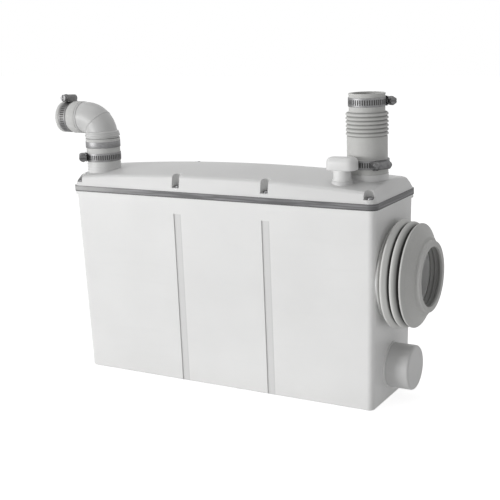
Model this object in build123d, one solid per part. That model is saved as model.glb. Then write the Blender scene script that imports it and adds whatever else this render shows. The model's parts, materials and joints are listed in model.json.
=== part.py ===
from build123d import *
from math import asin, degrees
import os

os.makedirs("parts", exist_ok=True)

# All sizes are in millimetres. X runs along the long side with the pan inlet at +X.
# Y runs to the back, Z is up.
# The origin is the middle of the tank's underside.

# Clearances and the overrun of every cut
body_gap = 0.3
seat_gap = 0.1
running_fit = 0.05
cut_overrun = 2.0

# Tank
tank_height = 275.0
base_width = 479.0
base_depth = 133.5
top_width = 490.6
top_depth = 140.7
tank_corner_radius = 8.5
tank_inner_corner = 4.5
base_edge_radius = 3.0
tank_wall = 4.0
floor_thickness = 5.0
rim_height = 4.7
rim_overhang = 2.6
groove_spacing = 145.0
groove_offset = 10.5
groove_width = 12.2
groove_depth = 1.3
groove_drop = 19.5

# Gasket between the tank and the lid
gasket_height = 8.6
gasket_proud = 0.8
gasket_width = 7.0

# Lid
lid_height = 29.4
lid_crown_rise = 7.1
lid_arch_rise = 9.7
lid_step_shares = (0.45, 0.75, 1.0)
lid_end_slope = 14.0
lid_side_slope = 5.5
lid_wall = 3.5
lid_top_corner = 12.0
lid_edge_radius = 5.0
lid_setback = 0.6

# Lid screws, in pockets along both long edges
screw_end_inset = 11.3
screw_side_inset = 9.6
pocket_width = 12.0
pocket_floor = 5.0
screw_post_radius = 7.5
screw_head_radius = 4.6
screw_head_height = 3.0
screw_shank_radius = 2.0
screw_length = 24.0
screw_recess_width = 1.2
screw_recess_depth = 1.6
boss_radius = 6.5
boss_length = 34.0

# Pan inlet on the right wall, with its finned rubber connector
pan_height = 180.0
pan_bore = 41.0
pan_spigot_wall = 3.0
pan_spigot_length = 34.0
connector_length = 54.1
connector_fin_radii = (75.5, 73.0, 71.5)
connector_core_radius = 57.0
connector_base_radius = 63.0
connector_pad_margin = 1.0
connector_pad_reach = 0.6
connector_base_thickness = 3.2
connector_first_fin = 7.6
connector_fin_pitch = 12.7
connector_fin_thickness = 5.2
connector_fin_edge = 3.4
connector_fin_fall = 4.6
connector_fin_gap = 2.4
connector_lip_radius = 48.8
connector_lip_thickness = 5.4
connector_lip_step = 5.0
connector_fold_depth = 6.0

# Low spare spigot on the right wall, with its blanking cap
spare_height = 47.5
spare_radius = 28.6
spare_wall = 3.0
spare_length = 30.0
cap_radius = 31.4
cap_length = 35.5
cap_end = 3.5
cap_edge_radius = 3.5
spare_collar_radius = 33.0
spare_collar_length = 2.6

# Upper waste inlet: lid boss and spigot, ribbed rubber sleeve
inlet_x = 206.0
inlet_boss_radius = 28.8
inlet_boss_rise = 0.2
inlet_spigot_radius = 22.0
inlet_spigot_wall = 3.0
inlet_spigot_length = 34.1
inlet_skirt_drop = 2.3
inlet_skirt_radius = 25.0
sleeve_length = 107.6
sleeve_neck_radius = 24.6
sleeve_rib_root = 26.4
sleeve_rib_radius = 29.0
sleeve_body_radius = 27.7
sleeve_cuff_radius = 28.5
sleeve_mouth_bore = 20.0
sleeve_rib_bore = 21.6
sleeve_neck_length = 24.8
sleeve_rib_length = 31.8
sleeve_cuff_length = 20.0
sleeve_rib_count = 6
sleeve_band_drop = 11.4
sleeve_band_lift = 13.4

# Discharge outlet: lid boss and spigot, rubber coupling, mitred elbow, end cuff
outlet_x = -213.9
outlet_y = -35.0
outlet_boss_radius = 25.0
outlet_boss_rise = 4.3
outlet_boss_ring = 0.5
outlet_boss_ring_height = 1.4
outlet_boss_ring_pitch = 4.2
outlet_spigot_wall = 3.0
outlet_spigot_length = 16.0
outlet_skirt_drop = 23.3
coupling_bore = 23.2
coupling_wall = 2.2
coupling_length = 35.0
coupling_band_rise = 7.3
coupling_bead_radius = 26.2
coupling_bead_height = 4.0
plain_band_rise = 21.3
plain_band_height = 9.5
plain_band_thickness = 0.9
elbow_radius = 23.15
elbow_wall = 3.0
elbow_bend_radius = 26.5
elbow_axis_rise = 65.3
elbow_foot_rise = 17.0
elbow_collar_radius = 26.6
elbow_collar_rise = 37.9
elbow_collar_height = 4.8
elbow_neck_radius = 24.9
elbow_neck_height = 9.6
elbow_stub_radius = 18.6
elbow_stub_length = 24.0
elbow_seam_width = 1.2
elbow_seam_height = 0.5
cuff_start = 35.0
cuff_length = 35.5
cuff_collar_radius = 24.2
cuff_collar_length = 14.0
cuff_radius = 22.4
cuff_lip_radius = 23.2
cuff_lip_length = 5.2
cuff_bore = 16.0
cuff_band_place = 58.2

# Worm-drive hose clamps
band_thickness = 0.9
band_width = 12.0
band_slot_width = 1.3
band_slot_length = 7.0
band_slot_pitch = 3.0
band_slot_count = 16
worm_radius = 4.3
worm_core_radius = 3.4
worm_head_radius = 6.2
worm_head_length = 8.6
worm_tail_length = 3.2
worm_slot_width = 1.4
worm_slot_depth = 1.8
housing_wall = 0.9
housing_length = 19.0
housing_width = 13.4
housing_corner = 3.0
housing_saddle_thickness = 0.8
inlet_clamp_turn = 50.0
inlet_low_clamp_turn = -30.0
outlet_clamp_turn = -140.0
cuff_clamp_turn = 4.0

# Air vent on the lid with its filter and cap
vent_x = 188.0
vent_y = -43.0
vent_stem_radius = 12.0
vent_stem_wall = 2.0
vent_foot_radius = 14.6
vent_foot_drop = 4.7
vent_stem_drop = 15.7
vent_shoulder_radius = 13.2
vent_shoulder_height = 2.0
vent_stem_rise = 20.3
vent_cap_rise = 9.3
vent_cap_height = 17.2
vent_cap_length = 43.0
vent_cap_depth = 25.5
vent_cap_corner = 9.0
vent_cap_edge = 6.0
filter_height = 14.0

# Cable gland on the back of the lid
gland_x = -120.0
gland_rise = 10.9
gland_boss_radius = 8.8
gland_boss_reach = 1.4
gland_thread_radius = 6.5
gland_thread_length = 16.0
gland_flange_radius = 9.8
gland_flange_length = 4.0
gland_body_radius = 8.4
gland_body_length = 6.0
gland_bore = 3.6
gland_nut_radius = 9.6
gland_nut_length = 10.0
gland_nut_wall = 1.6
gland_locknut_radius = 8.8
gland_locknut_length = 3.4

# Pump, cutter basket and motor stack, which share one upright axis
motor_x = 30.0
pump_base = 10.0
pump_radius = 50.0
pump_wall = 4.0
pump_floor = 3.0
pump_height = 40.0
pump_foot_radius = 6.0
pump_foot_circle = 40.0
pump_port_radius = 12.0
pump_port_wall = 3.0
pump_port_height = 30.0
pump_port_length = 72.0
pump_cover_thickness = 5.0
pump_eye_radius = 14.0
impeller_radius = 36.0
impeller_disc = 3.0
impeller_hub_radius = 9.5
impeller_lift = 3.0
impeller_vane_height = 22.0
impeller_vane_thickness = 2.6
impeller_vane_count = 6
basket_radius = 54.0
basket_wall = 2.5
basket_height = 96.0
basket_flange_radius = 58.0
basket_flange_height = 3.0
basket_slot_width = 5.0
basket_slot_count = 24
basket_slot_low = 10.0
basket_slot_high = 28.0
basket_hole_radius = 3.0
basket_hole_circle = 36.0
basket_hole_count = 12
blade_lift = 12.0
blade_reach = 44.0
blade_width = 15.0
blade_thickness = 3.0
blade_hub_radius = 11.0
blade_hub_height = 9.0
motor_radius = 50.0
motor_wall = 3.0
motor_floor = 6.0
motor_height = 108.0
motor_flange_height = 4.0
motor_cap_thickness = 5.0
motor_cap_radius = 52.0
bearing_radius = 16.0
bearing_width = 10.0
bearing_collar = 3.0
bearing_end_gap = 1.0
shaft_radius = 6.0
shaft_foot = 14.5
seal_radius = 11.0
seal_lip = 2.0
stator_radius = 46.8
stator_bore = 25.0
stator_height = 52.0
stator_lift = 30.0
winding_radius = 42.0
winding_bore = 29.0
winding_height = 10.0
rotor_air_gap = 1.0
rotor_height = 48.0

# Chute from the pan inlet into the basket
chute_wall = 3.0
chute_end_bore = 30.0
chute_end_height = 88.0
chute_flange_radius = 52.0
chute_flange_thickness = 3.0

# Riser pipe from the pump to the non-return valve
riser_radius = 15.0
riser_bend_radius = 34.0
valve_radius = 21.0
valve_bore = 17.5
valve_drop = 60.3
valve_socket_depth = 8.0
valve_seat_bore = 11.0
valve_seat_thickness = 3.0
outlet_flap_radius = 13.0

# Flap valves
flap_thickness = 2.0
flap_hinge_margin = 1.5
flap_hinge_height = 2.0
flap_barrel_radius = 1.5
flap_barrel_half = 5.0
flap_pin_radius = 0.9
flap_pin_reach = 2.3
flap_ear_width = 2.6
flap_ear_half = 1.7
flap_cut_margin = 3.0
inlet_flap_radius = 20.6

# Pressure bell, diaphragm and switch
bell_x = -85.0
bell_y = 22.0
bell_tube_radius = 15.0
bell_wall = 2.5
bell_foot = 25.0
bell_drop = 85.3
bell_chamber_radius = 26.0
bell_chamber_height = 17.0
diaphragm_thickness = 1.5
switch_seat_height = 12.0
plunger_radius = 3.0
plunger_plate_radius = 9.0
plunger_plate_height = 2.0
plunger_travel = 3.0
switch_length = 28.0
switch_width = 10.0
switch_height = 16.0
switch_standoff = 8.0
switch_pedestal_length = 6.0
button_radius = 1.6
button_stroke_hole = 6.0

# Control box under the lid
box_x = -120.0
box_length = 116.0
box_width = 60.0
box_wall = 2.5
box_floor = 3.0
box_height = 46.0
box_corner = 5.0
box_cover_thickness = 3.0
box_post_radius = 4.0
box_post_inset = 8.0
capacitor_x = -154.0
capacitor_radius = 15.0
capacitor_height = 37.0
capacitor_tag_height = 3.0
capacitor_tag_length = 6.0
capacitor_tag_width = 1.0
capacitor_tag_spacing = 10.0
terminal_x = -118.0
terminal_length = 16.0
terminal_width = 40.0
terminal_height = 16.0
terminal_hole_radius = 2.2
terminal_hole_count = 4
terminal_hole_depth = 6.0

# Levels and places worked out from the sizes above
rim_top = tank_height + rim_height
lid_base = rim_top + gasket_height
lid_top = lid_base + lid_height
inlet_boss_top = lid_top + inlet_boss_rise
inlet_spigot_top = inlet_boss_top + inlet_spigot_length
inlet_skirt_end = lid_base - inlet_skirt_drop
sleeve_top = inlet_boss_top + sleeve_length
outlet_boss_top = lid_top + outlet_boss_rise
outlet_spigot_top = outlet_boss_top + outlet_spigot_length
outlet_skirt_end = lid_base - outlet_skirt_drop
coupling_bottom = outlet_boss_top + seat_gap
coupling_top = outlet_boss_top + coupling_length
coupling_band_height = outlet_boss_top + coupling_band_rise
plain_band_bottom = outlet_boss_top + plain_band_rise
elbow_axis_height = outlet_boss_top + elbow_axis_rise
elbow_foot = outlet_boss_top + elbow_foot_rise
elbow_collar_bottom = outlet_boss_top + elbow_collar_rise
vent_foot_top = lid_top - vent_foot_drop
vent_foot_bottom = lid_top - vent_stem_drop
vent_stem_top = lid_top + vent_stem_rise
vent_cap_bottom = lid_top + vent_cap_rise
gland_height = lid_base + gland_rise
valve_bottom = lid_base - valve_drop
bell_shoulder = lid_base - bell_drop
rim_width = top_width + 2 * rim_overhang
rim_depth = top_depth + 2 * rim_overhang
rim_corner = tank_corner_radius + rim_overhang
screw_x = rim_width / 2 - screw_end_inset
screw_y = rim_depth / 2 - screw_side_inset
screw_places = [-screw_x, groove_offset - groove_spacing / 2, groove_offset + groove_spacing / 2, screw_x]
pocket_level = lid_base + pocket_floor
pump_top = pump_base + pump_height
cover_top = pump_top + pump_cover_thickness
basket_top = cover_top + basket_height
motor_top = basket_top + motor_height
motor_inside = basket_top + motor_floor
bearing_low = motor_inside + bearing_end_gap
bearing_high = motor_top - bearing_end_gap - bearing_width
stator_low = basket_top + stator_lift
stator_high = stator_low + stator_height
blade_level = cover_top + blade_lift
bell_top = bell_shoulder + bell_chamber_height
diaphragm_top = bell_top + diaphragm_thickness
box_level = diaphragm_top + switch_seat_height
box_top = box_level + box_height
cover_level = box_top + box_cover_thickness
switch_level = box_level + box_floor + switch_standoff
valve_top = outlet_skirt_end
seat_level = valve_bottom + valve_socket_depth + valve_seat_thickness
worm_offset = band_thickness + housing_saddle_thickness + body_gap + worm_radius
elbow_end = cuff_start + cuff_length




# General shapes
def rod(radius, low, high):
    return Pos(0, 0, low) * Cylinder(radius, high - low, align=(Align.CENTER, Align.CENTER, Align.MIN))


def tube(outer, inner, low, high):
    return rod(outer, low, high) - rod(inner, low, high)


def block(x_low, x_high, y_low, y_high, z_low, z_high):
    solid = Box(x_high - x_low, y_high - y_low, z_high - z_low, align=(Align.MIN, Align.MIN, Align.MIN))
    return Pos(x_low, y_low, z_low) * solid


def turned(points):
    outline = Polyline(*[(radius, 0, height) for radius, height in points], close=True)
    return revolve(make_face(outline), Axis.Z)


def plan(width, depth, radius, level):
    return Pos(0, 0, level) * RectangleRounded(width, depth, radius)


def slab(width, depth, radius, low, high):
    return extrude(plan(width, depth, radius, low), high - low)


def along_x(place_x, height):
    return Pos(place_x, 0, height) * Rot(0, 90, 0)


# Tank
def wall_width(level):
    return base_width + (top_width - base_width) * level / tank_height


def wall_depth(level):
    return base_depth + (top_depth - base_depth) * level / tank_height


def drafted(inset, corner, low, high):
    lower = plan(wall_width(low) - 2 * inset, wall_depth(low) - 2 * inset, corner, low)
    upper = plan(wall_width(high) - 2 * inset, wall_depth(high) - 2 * inset, corner, high)
    return loft([lower, upper], ruled=True)


def groove_bars(width, depth, high):
    core = drafted(depth, tank_corner_radius, -cut_overrun, rim_top)
    bars = []
    for place in screw_places[1:3]:
        for side in (-1, 1):
            y_low, y_high = sorted((0, side * (wall_depth(high) / 2 + cut_overrun)))
            bar = block(place - width / 2, place + width / 2, y_low, y_high, 0, high)
            bars.append(bar - core)
    return bars


def at_screws(radius, low, high):
    rods = []
    for place in screw_places:
        for side in (-1, 1):
            rods.append(Pos(place, side * screw_y, 0) * rod(radius, low, high))
    return rods


pan_face = wall_width(pan_height + connector_base_radius) / 2 + connector_pad_reach
chute_start = wall_width(pan_height - chute_flange_radius) / 2 - tank_wall - body_gap


def make_tank():
    shell = drafted(0, tank_corner_radius, 0, tank_height)
    shell = fillet(shell.faces().sort_by(Axis.Z)[0].edges(), base_edge_radius)
    groove_top = tank_height - groove_drop
    grooves = groove_bars(groove_width, groove_depth, groove_top)
    for bar in grooves:
        shell -= bar
    shell += slab(rim_width, rim_depth, rim_corner, tank_height, rim_top)
    inside = drafted(tank_wall, tank_inner_corner, floor_thickness, rim_top)
    bar_width = groove_width + 2 * tank_wall
    for bar in groove_bars(bar_width, groove_depth + tank_wall, groove_top + tank_wall):
        inside -= bar
    tank = shell - inside
    outside = drafted(0, tank_corner_radius, 0, rim_top)
    for bar in grooves:
        outside -= bar
    for boss in at_screws(boss_radius, rim_top - boss_length, rim_top):
        tank += boss & outside
    keep_width = rim_width - 2 * gasket_width - 2 * body_gap
    keep_depth = rim_depth - 2 * gasket_width - 2 * body_gap
    keep = slab(keep_width, keep_depth, tank_inner_corner, rim_top, lid_base)
    for boss in at_screws(boss_radius, rim_top, lid_base):
        tank += boss & keep
    for hole in at_screws(screw_shank_radius + seat_gap, rim_top - boss_length + screw_head_height, lid_base):
        tank -= hole
    start = wall_width(pan_height) / 2 - tank_wall
    spigot_end = pan_face + pan_spigot_length
    pad_radius = connector_base_radius + connector_pad_margin
    tank += along_x(0, pan_height) * rod(pad_radius, start + tank_wall / 2, pan_face)
    tank += along_x(0, pan_height) * rod(pan_bore + pan_spigot_wall, start + tank_wall / 2, spigot_end)
    tank -= along_x(0, pan_height) * rod(pan_bore, start - tank_wall, spigot_end)
    low_start = wall_width(spare_height) / 2 - tank_wall
    low_end = wall_width(spare_height) / 2 + spare_length
    collar_end = wall_width(spare_height) / 2 + spare_collar_length
    tank += along_x(0, spare_height) * rod(spare_collar_radius, low_start + tank_wall / 2, collar_end)
    tank += along_x(0, spare_height) * rod(spare_radius, low_start + tank_wall / 2, low_end)
    tank -= along_x(0, spare_height) * rod(spare_radius - spare_wall, low_start - tank_wall, low_end)
    return tank


# Gasket
def make_gasket():
    width = rim_width + 2 * gasket_proud
    depth = rim_depth + 2 * gasket_proud
    ring = slab(width, depth, rim_corner + gasket_proud, rim_top, lid_base)
    inner_width = rim_width - 2 * gasket_width
    inner_depth = rim_depth - 2 * gasket_width
    ring -= slab(inner_width, inner_depth, tank_inner_corner, rim_top, lid_base)
    return ring


# Lid
def crown_section(drop):
    half = rim_depth / 2 + cut_overrun
    top = lid_top - drop
    side = top - lid_crown_rise
    floor = lid_base - lid_height
    left = Line((0, -half, side), (0, -half, floor))
    bottom = Line((0, -half, floor), (0, half, floor))
    right = Line((0, half, floor), (0, half, side))
    crown = ThreePointArc((0, half, side), (0, 0, top), (0, -half, side))
    return make_face([left, bottom, right, crown])


def lid_crown():
    reach = rim_width / 2
    arch_radius = (reach ** 2 + lid_arch_rise ** 2) / (2 * lid_arch_rise)
    pivot = Axis((0, 0, lid_top - arch_radius), (0, 1, 0))
    swing = degrees(asin((reach + cut_overrun) / (arch_radius - lid_crown_rise - lid_height)))
    return revolve(crown_section(0).rotate(pivot, -swing), pivot, 2 * swing)


def lid_wedge(inset, low):
    width = rim_width - 2 * lid_setback - 2 * inset
    depth = rim_depth - 2 * lid_setback - 2 * inset
    stretch = (lid_height + cut_overrun) / lid_height
    top_width_here = width - 2 * lid_end_slope * stretch
    top_depth_here = depth - 2 * lid_side_slope * stretch
    lower = plan(width, depth, rim_corner - lid_setback, low)
    upper = plan(top_width_here, top_depth_here, lid_top_corner, lid_top + cut_overrun)
    return loft([lower, upper], ruled=True)


def lid_cavity():
    steps = []
    for share in lid_step_shares:
        reach = rim_width / 2 * share
        drop = lid_wall + lid_arch_rise * share ** 2
        section = crown_section(drop).moved(Location((-reach, 0, 0)))
        steps.append(extrude(section, 2 * reach, dir=(1, 0, 0)))
    return lid_wedge(lid_wall, lid_base) & (steps[0] + steps[1] + steps[2])


def pocket_cut(place, side):
    half = pocket_width / 2
    reach = rim_depth / 2 + cut_overrun - screw_y
    left = Line((-half, side * reach), (-half, 0))
    round_end = ThreePointArc((-half, 0), (0, -side * half), (half, 0))
    right = Line((half, 0), (half, side * reach))
    mouth = Line((half, side * reach), (-half, side * reach))
    outline = make_face([left, round_end, right, mouth])
    cut = extrude(outline, lid_top + cut_overrun - pocket_level, dir=(0, 0, 1))
    return Pos(place, side * screw_y, pocket_level) * cut


def box_post_places():
    places = []
    for along in (-1, 1):
        for across in (-1, 1):
            x = box_x + along * (box_length / 2 - box_post_inset)
            y = bell_y + across * (box_width / 2 - box_post_inset)
            places.append((x, y))
    return places


def lid_pillars(low, high):
    pillars = [Pos(inlet_x, 0, 0) * rod(inlet_skirt_radius, low, high)]
    pillars.append(Pos(outlet_x, outlet_y, 0) * rod(coupling_bore - seat_gap, low, high))
    for x, y in box_post_places():
        pillars.append(Pos(x, y, 0) * rod(box_post_radius, low, high))
    return pillars


def make_lid():
    lid = lid_wedge(0, lid_base) & lid_crown()
    lid = fillet(lid.faces().sort_by(Axis.Z)[-1].edges(), lid_edge_radius)
    for place in screw_places:
        for side in (-1, 1):
            lid -= pocket_cut(place, side)
    lid += Pos(inlet_x, 0, 0) * rod(inlet_boss_radius, lid_base + lid_wall, inlet_boss_top)
    lid += Pos(outlet_x, outlet_y, 0) * rod(outlet_boss_radius, lid_base + lid_wall, outlet_boss_top)
    lid += Pos(vent_x, vent_y, 0) * rod(vent_foot_radius, lid_base + lid_wall, vent_foot_top)
    gland_seat = rim_depth / 2 + gland_boss_reach
    gland_line = Pos(gland_x, 0, gland_height) * Rot(-90, 0, 0)
    lid += gland_line * rod(gland_boss_radius, screw_y, gland_seat)
    cavity = lid_cavity()
    for post in at_screws(screw_post_radius, lid_base - cut_overrun, lid_top):
        cavity -= post
    for pillar in lid_pillars(lid_base - cut_overrun, lid_top):
        cavity -= pillar
    cavity -= gland_line * rod(gland_boss_radius, screw_y, gland_seat)
    nut_room = screw_y - gland_locknut_length - 2 * body_gap
    cavity += gland_line * rod(gland_locknut_radius + body_gap, nut_room, screw_y)
    lid -= cavity
    lid += Pos(inlet_x, 0, 0) * rod(inlet_skirt_radius, inlet_skirt_end, lid_base)
    lid += Pos(inlet_x, 0, 0) * rod(inlet_spigot_radius, inlet_boss_top, inlet_spigot_top)
    spigot_radius = coupling_bore - seat_gap
    lid += Pos(outlet_x, outlet_y, 0) * rod(spigot_radius, outlet_skirt_end, lid_base)
    lid += Pos(outlet_x, outlet_y, 0) * rod(spigot_radius, outlet_boss_top, outlet_spigot_top)
    for x, y in box_post_places():
        lid += Pos(x, y, 0) * rod(box_post_radius, cover_level, lid_base)
    for step in range(3):
        level = outlet_boss_top - outlet_boss_ring_pitch * (step + 1)
        ring = rod(outlet_boss_radius + outlet_boss_ring, level, level + outlet_boss_ring_height)
        lid += Pos(outlet_x, outlet_y, 0) * ring
    for hole in at_screws(screw_shank_radius + seat_gap, lid_base, lid_top):
        lid -= hole
    lid -= Pos(inlet_x, 0, 0) * rod(inlet_spigot_radius - inlet_spigot_wall, inlet_skirt_end, inlet_spigot_top)
    bore = spigot_radius - outlet_spigot_wall
    lid -= Pos(outlet_x, outlet_y, 0) * rod(bore, outlet_skirt_end, outlet_spigot_top)
    lid -= Pos(vent_x, vent_y, 0) * rod(vent_stem_radius + seat_gap, lid_base, lid_top)
    lid -= gland_line * rod(gland_thread_radius + seat_gap, 0, gland_seat)
    hinge = inlet_flap_radius + flap_hinge_margin
    for ear in flap_ears(hinge):
        lid += Pos(inlet_x, 0, inlet_skirt_end) * Rot(180, 0, 0) * ear
    return lid


def make_lid_screws():
    head_low = pocket_level
    screws = []
    for place in screw_places:
        for side in (-1, 1):
            head = rod(screw_head_radius, head_low, head_low + screw_head_height)
            head = chamfer(head.faces().sort_by(Axis.Z)[-1].edges(), screw_head_height / 3)
            top = head_low + screw_head_height
            half = screw_recess_width / 2
            reach = screw_head_radius / 2
            low = top - screw_recess_depth
            head -= block(-half, half, -reach, reach, low, top)
            head -= block(-reach, reach, -half, half, low, top)
            shank = rod(screw_shank_radius, head_low - screw_length, head_low)
            screws.append(Pos(place, side * screw_y, 0) * (head + shank))
    return screws


# Pan connector
def make_pan_connector():
    wall = pan_bore + pan_spigot_wall + seat_gap
    end = connector_length
    points = [(wall, seat_gap), (connector_base_radius, seat_gap)]
    points.append((connector_base_radius, connector_base_thickness))
    for index in range(3):
        centre = connector_first_fin + index * connector_fin_pitch
        root = connector_core_radius
        half = connector_fin_thickness / 2
        points.append((root, centre - half))
        points.append((connector_fin_radii[index], centre + half - connector_fin_edge))
        points.append((connector_fin_radii[index], centre + half))
        if index < 2:
            gap_start = centre + connector_fin_pitch - half - connector_fin_gap
            points.append((connector_fin_radii[index] - connector_fin_fall, gap_start - seat_gap))
            points.append((root, gap_start))
    last_fin = connector_first_fin + 2 * connector_fin_pitch + connector_fin_thickness / 2
    points.append((connector_core_radius + connector_lip_step, last_fin + connector_lip_step))
    points.append((connector_lip_radius, end - connector_lip_thickness))
    points.append((connector_lip_radius, end))
    points.append((pan_bore, end))
    points.append((pan_bore, end - connector_lip_thickness))
    spigot_end = pan_spigot_length + seat_gap
    points.append((pan_bore + connector_fold_depth, end - connector_lip_thickness - connector_fold_depth))
    points.append((pan_bore, spigot_end + seat_gap))
    points.append((wall, spigot_end))
    return along_x(pan_face, pan_height) * turned(points)


# Blanking cap of the spare spigot
def make_spare_cap():
    start = spare_collar_length + seat_gap
    cap = rod(cap_radius, start, cap_length)
    cap = fillet(cap.faces().sort_by(Axis.Z)[-1].edges(), cap_edge_radius)
    cap -= rod(spare_radius + seat_gap, start, cap_length - cap_end)
    return along_x(wall_width(spare_height) / 2, spare_height) * cap


# Upper waste inlet sleeve
def make_inlet_sleeve():
    bottom = inlet_boss_top + seat_gap
    spigot = inlet_spigot_radius + seat_gap
    rib_top = sleeve_top - sleeve_neck_length
    rib_bottom = rib_top - sleeve_rib_length
    pitch = sleeve_rib_length / sleeve_rib_count
    points = [(spigot, bottom), (sleeve_cuff_radius, bottom)]
    points.append((sleeve_cuff_radius, bottom + sleeve_cuff_length))
    points.append((sleeve_body_radius, bottom + sleeve_cuff_length))
    points.append((sleeve_body_radius, rib_bottom))
    for index in range(sleeve_rib_count):
        low = rib_bottom + index * pitch
        points.append((sleeve_rib_root, low))
        points.append((sleeve_rib_radius, low + pitch * 3 / 8))
        points.append((sleeve_rib_radius, low + pitch * 6 / 8))
        points.append((sleeve_rib_root, low + pitch))
    points = [points[i] for i in range(len(points)) if i == 0 or points[i] != points[i - 1]]
    points.append((sleeve_neck_radius, rib_top))
    points.append((sleeve_neck_radius, sleeve_top))
    points.append((sleeve_mouth_bore, sleeve_top))
    points.append((sleeve_mouth_bore, rib_top))
    points.append((sleeve_rib_bore, rib_top - pitch))
    points.append((sleeve_rib_bore, inlet_spigot_top + body_gap))
    points.append((spigot, inlet_spigot_top + body_gap))
    return Pos(inlet_x, 0, 0) * turned(points)


# Discharge coupling, elbow and cuff
def make_coupling():
    ring = rod(coupling_bore + coupling_wall, coupling_bottom, coupling_top)
    ring += rod(coupling_bead_radius, coupling_top - coupling_bead_height, coupling_top)
    return Pos(outlet_x, outlet_y, 0) * (ring - rod(coupling_bore, coupling_bottom, coupling_top))


def make_plain_band():
    inner = coupling_bore + coupling_wall
    top = plain_band_bottom + plain_band_height
    ring = tube(inner + plain_band_thickness, inner + seat_gap, plain_band_bottom, top)
    return Pos(outlet_x, outlet_y, 0) * ring


def elbow_bend(radius):
    centre = Pos(-elbow_bend_radius, 0, elbow_axis_height - elbow_bend_radius)
    ring = Pos(elbow_bend_radius, 0, 0) * Circle(radius)
    return centre * revolve(ring, Axis((0, 0, 0), (0, -1, 0)), 90)


def elbow_solid(radius, foot, end):
    bend_foot = elbow_axis_height - elbow_bend_radius
    solid = rod(radius, foot, bend_foot) + elbow_bend(radius)
    return solid + Pos(0, 0, elbow_axis_height) * Rot(0, -90, 0) * rod(radius, elbow_bend_radius, end)


def make_elbow():
    outer = elbow_solid(elbow_radius, elbow_foot, cuff_start)
    collar_top = elbow_collar_bottom + elbow_collar_height
    outer += rod(elbow_collar_radius, elbow_collar_bottom, collar_top)
    outer += rod(elbow_neck_radius, coupling_top + body_gap, coupling_top + body_gap + elbow_neck_height)
    seam = Pos(-elbow_bend_radius, 0, elbow_axis_height - elbow_bend_radius) * Rot(0, -45, 0)
    seam_ring = extrude(Circle(elbow_radius + elbow_seam_height), elbow_seam_width / 2, both=True)
    outer += seam * Pos(elbow_bend_radius, 0, 0) * seam_ring
    stub = rod(elbow_stub_radius, cuff_start, cuff_start + elbow_stub_length)
    outer += Pos(0, 0, elbow_axis_height) * Rot(0, -90, 0) * stub
    bore = elbow_stub_radius - elbow_wall
    outer -= elbow_solid(bore, elbow_foot, cuff_start + elbow_stub_length)
    return Pos(outlet_x, outlet_y, 0) * outer


def make_elbow_cuff():
    stub_end = cuff_start + elbow_stub_length
    start = cuff_start + seat_gap
    points = [(elbow_stub_radius + seat_gap, start), (cuff_collar_radius, start)]
    points.append((cuff_collar_radius, start + cuff_collar_length))
    points.append((cuff_radius, start + cuff_collar_length))
    points.append((cuff_radius, elbow_end - cuff_lip_length))
    points.append((cuff_lip_radius, elbow_end - cuff_lip_length))
    points.append((cuff_lip_radius, elbow_end))
    points.append((cuff_bore, elbow_end))
    points.append((cuff_bore, stub_end + body_gap))
    points.append((elbow_stub_radius + seat_gap, stub_end + body_gap))
    return Pos(outlet_x, outlet_y, elbow_axis_height) * Rot(0, -90, 0) * turned(points)


# Hose clamps: the axis is Z, the housing lies at +X and the worm's head points to -Y
def clamp_band(radius):
    band = tube(radius + band_thickness, radius + seat_gap, -band_width / 2, band_width / 2)
    step = degrees(band_slot_pitch / radius)
    start = degrees((housing_length / 2 + band_slot_pitch) / radius)
    half = band_slot_length / 2
    for index in range(band_slot_count):
        side = band_slot_width / 2
        slot = block(radius - cut_overrun, radius + cut_overrun, -side, side, -half, half)
        band -= Rot(0, 0, start + index * step) * slot
    return band


def clamp_housing(radius):
    inner = radius + band_thickness + seat_gap
    outer = inner + housing_saddle_thickness + 2 * worm_radius + 2 * body_gap + housing_wall
    half = housing_length / 2
    side = housing_width / 2
    shell = block(inner, outer, -half, half, -side, side)
    shell = fillet(shell.edges().filter_by(Axis.Y).group_by(Axis.X)[-1], housing_corner)
    shell -= rod(inner, -side, side)
    shell -= Pos(radius + worm_offset, 0, 0) * Rot(90, 0, 0) * rod(worm_radius + body_gap, -half, half)
    return shell


def clamp_worm(radius):
    half = housing_length / 2
    worm = rod(worm_radius, -half - worm_tail_length, half)
    worm += rod(worm_core_radius, half, half + body_gap)
    head = rod(worm_head_radius, half + body_gap, half + body_gap + worm_head_length)
    top = half + body_gap + worm_head_length
    slot_side = worm_slot_width / 2
    slot = block(-worm_head_radius, worm_head_radius, -slot_side, slot_side, top - worm_slot_depth, top)
    worm += head - slot
    return Pos(radius + worm_offset, 0, 0) * Rot(90, 0, 0) * worm


inlet_upper_place = Pos(inlet_x, 0, sleeve_top - sleeve_band_drop) * Rot(0, 0, inlet_clamp_turn)
flipped = Rot(180, 0, 0)
inlet_lower_centre = Pos(inlet_x, 0, inlet_boss_top + sleeve_band_lift)
inlet_lower_place = inlet_lower_centre * Rot(0, 0, inlet_low_clamp_turn)
outlet_lower_centre = Pos(outlet_x, outlet_y, coupling_band_height)
outlet_lower_place = outlet_lower_centre * Rot(0, 0, outlet_clamp_turn) * flipped
outlet_end_centre = Pos(outlet_x - cuff_band_place, outlet_y, elbow_axis_height)
outlet_end_place = outlet_end_centre * Rot(0, -90, 0) * Rot(0, 0, cuff_clamp_turn)
clamp_places = {
    "inlet_upper": (sleeve_neck_radius, inlet_upper_place),
    "inlet_lower": (sleeve_cuff_radius, inlet_lower_place),
    "outlet_lower": (coupling_bore + coupling_wall, outlet_lower_place),
    "outlet_end": (cuff_radius, outlet_end_place),
}


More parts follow.
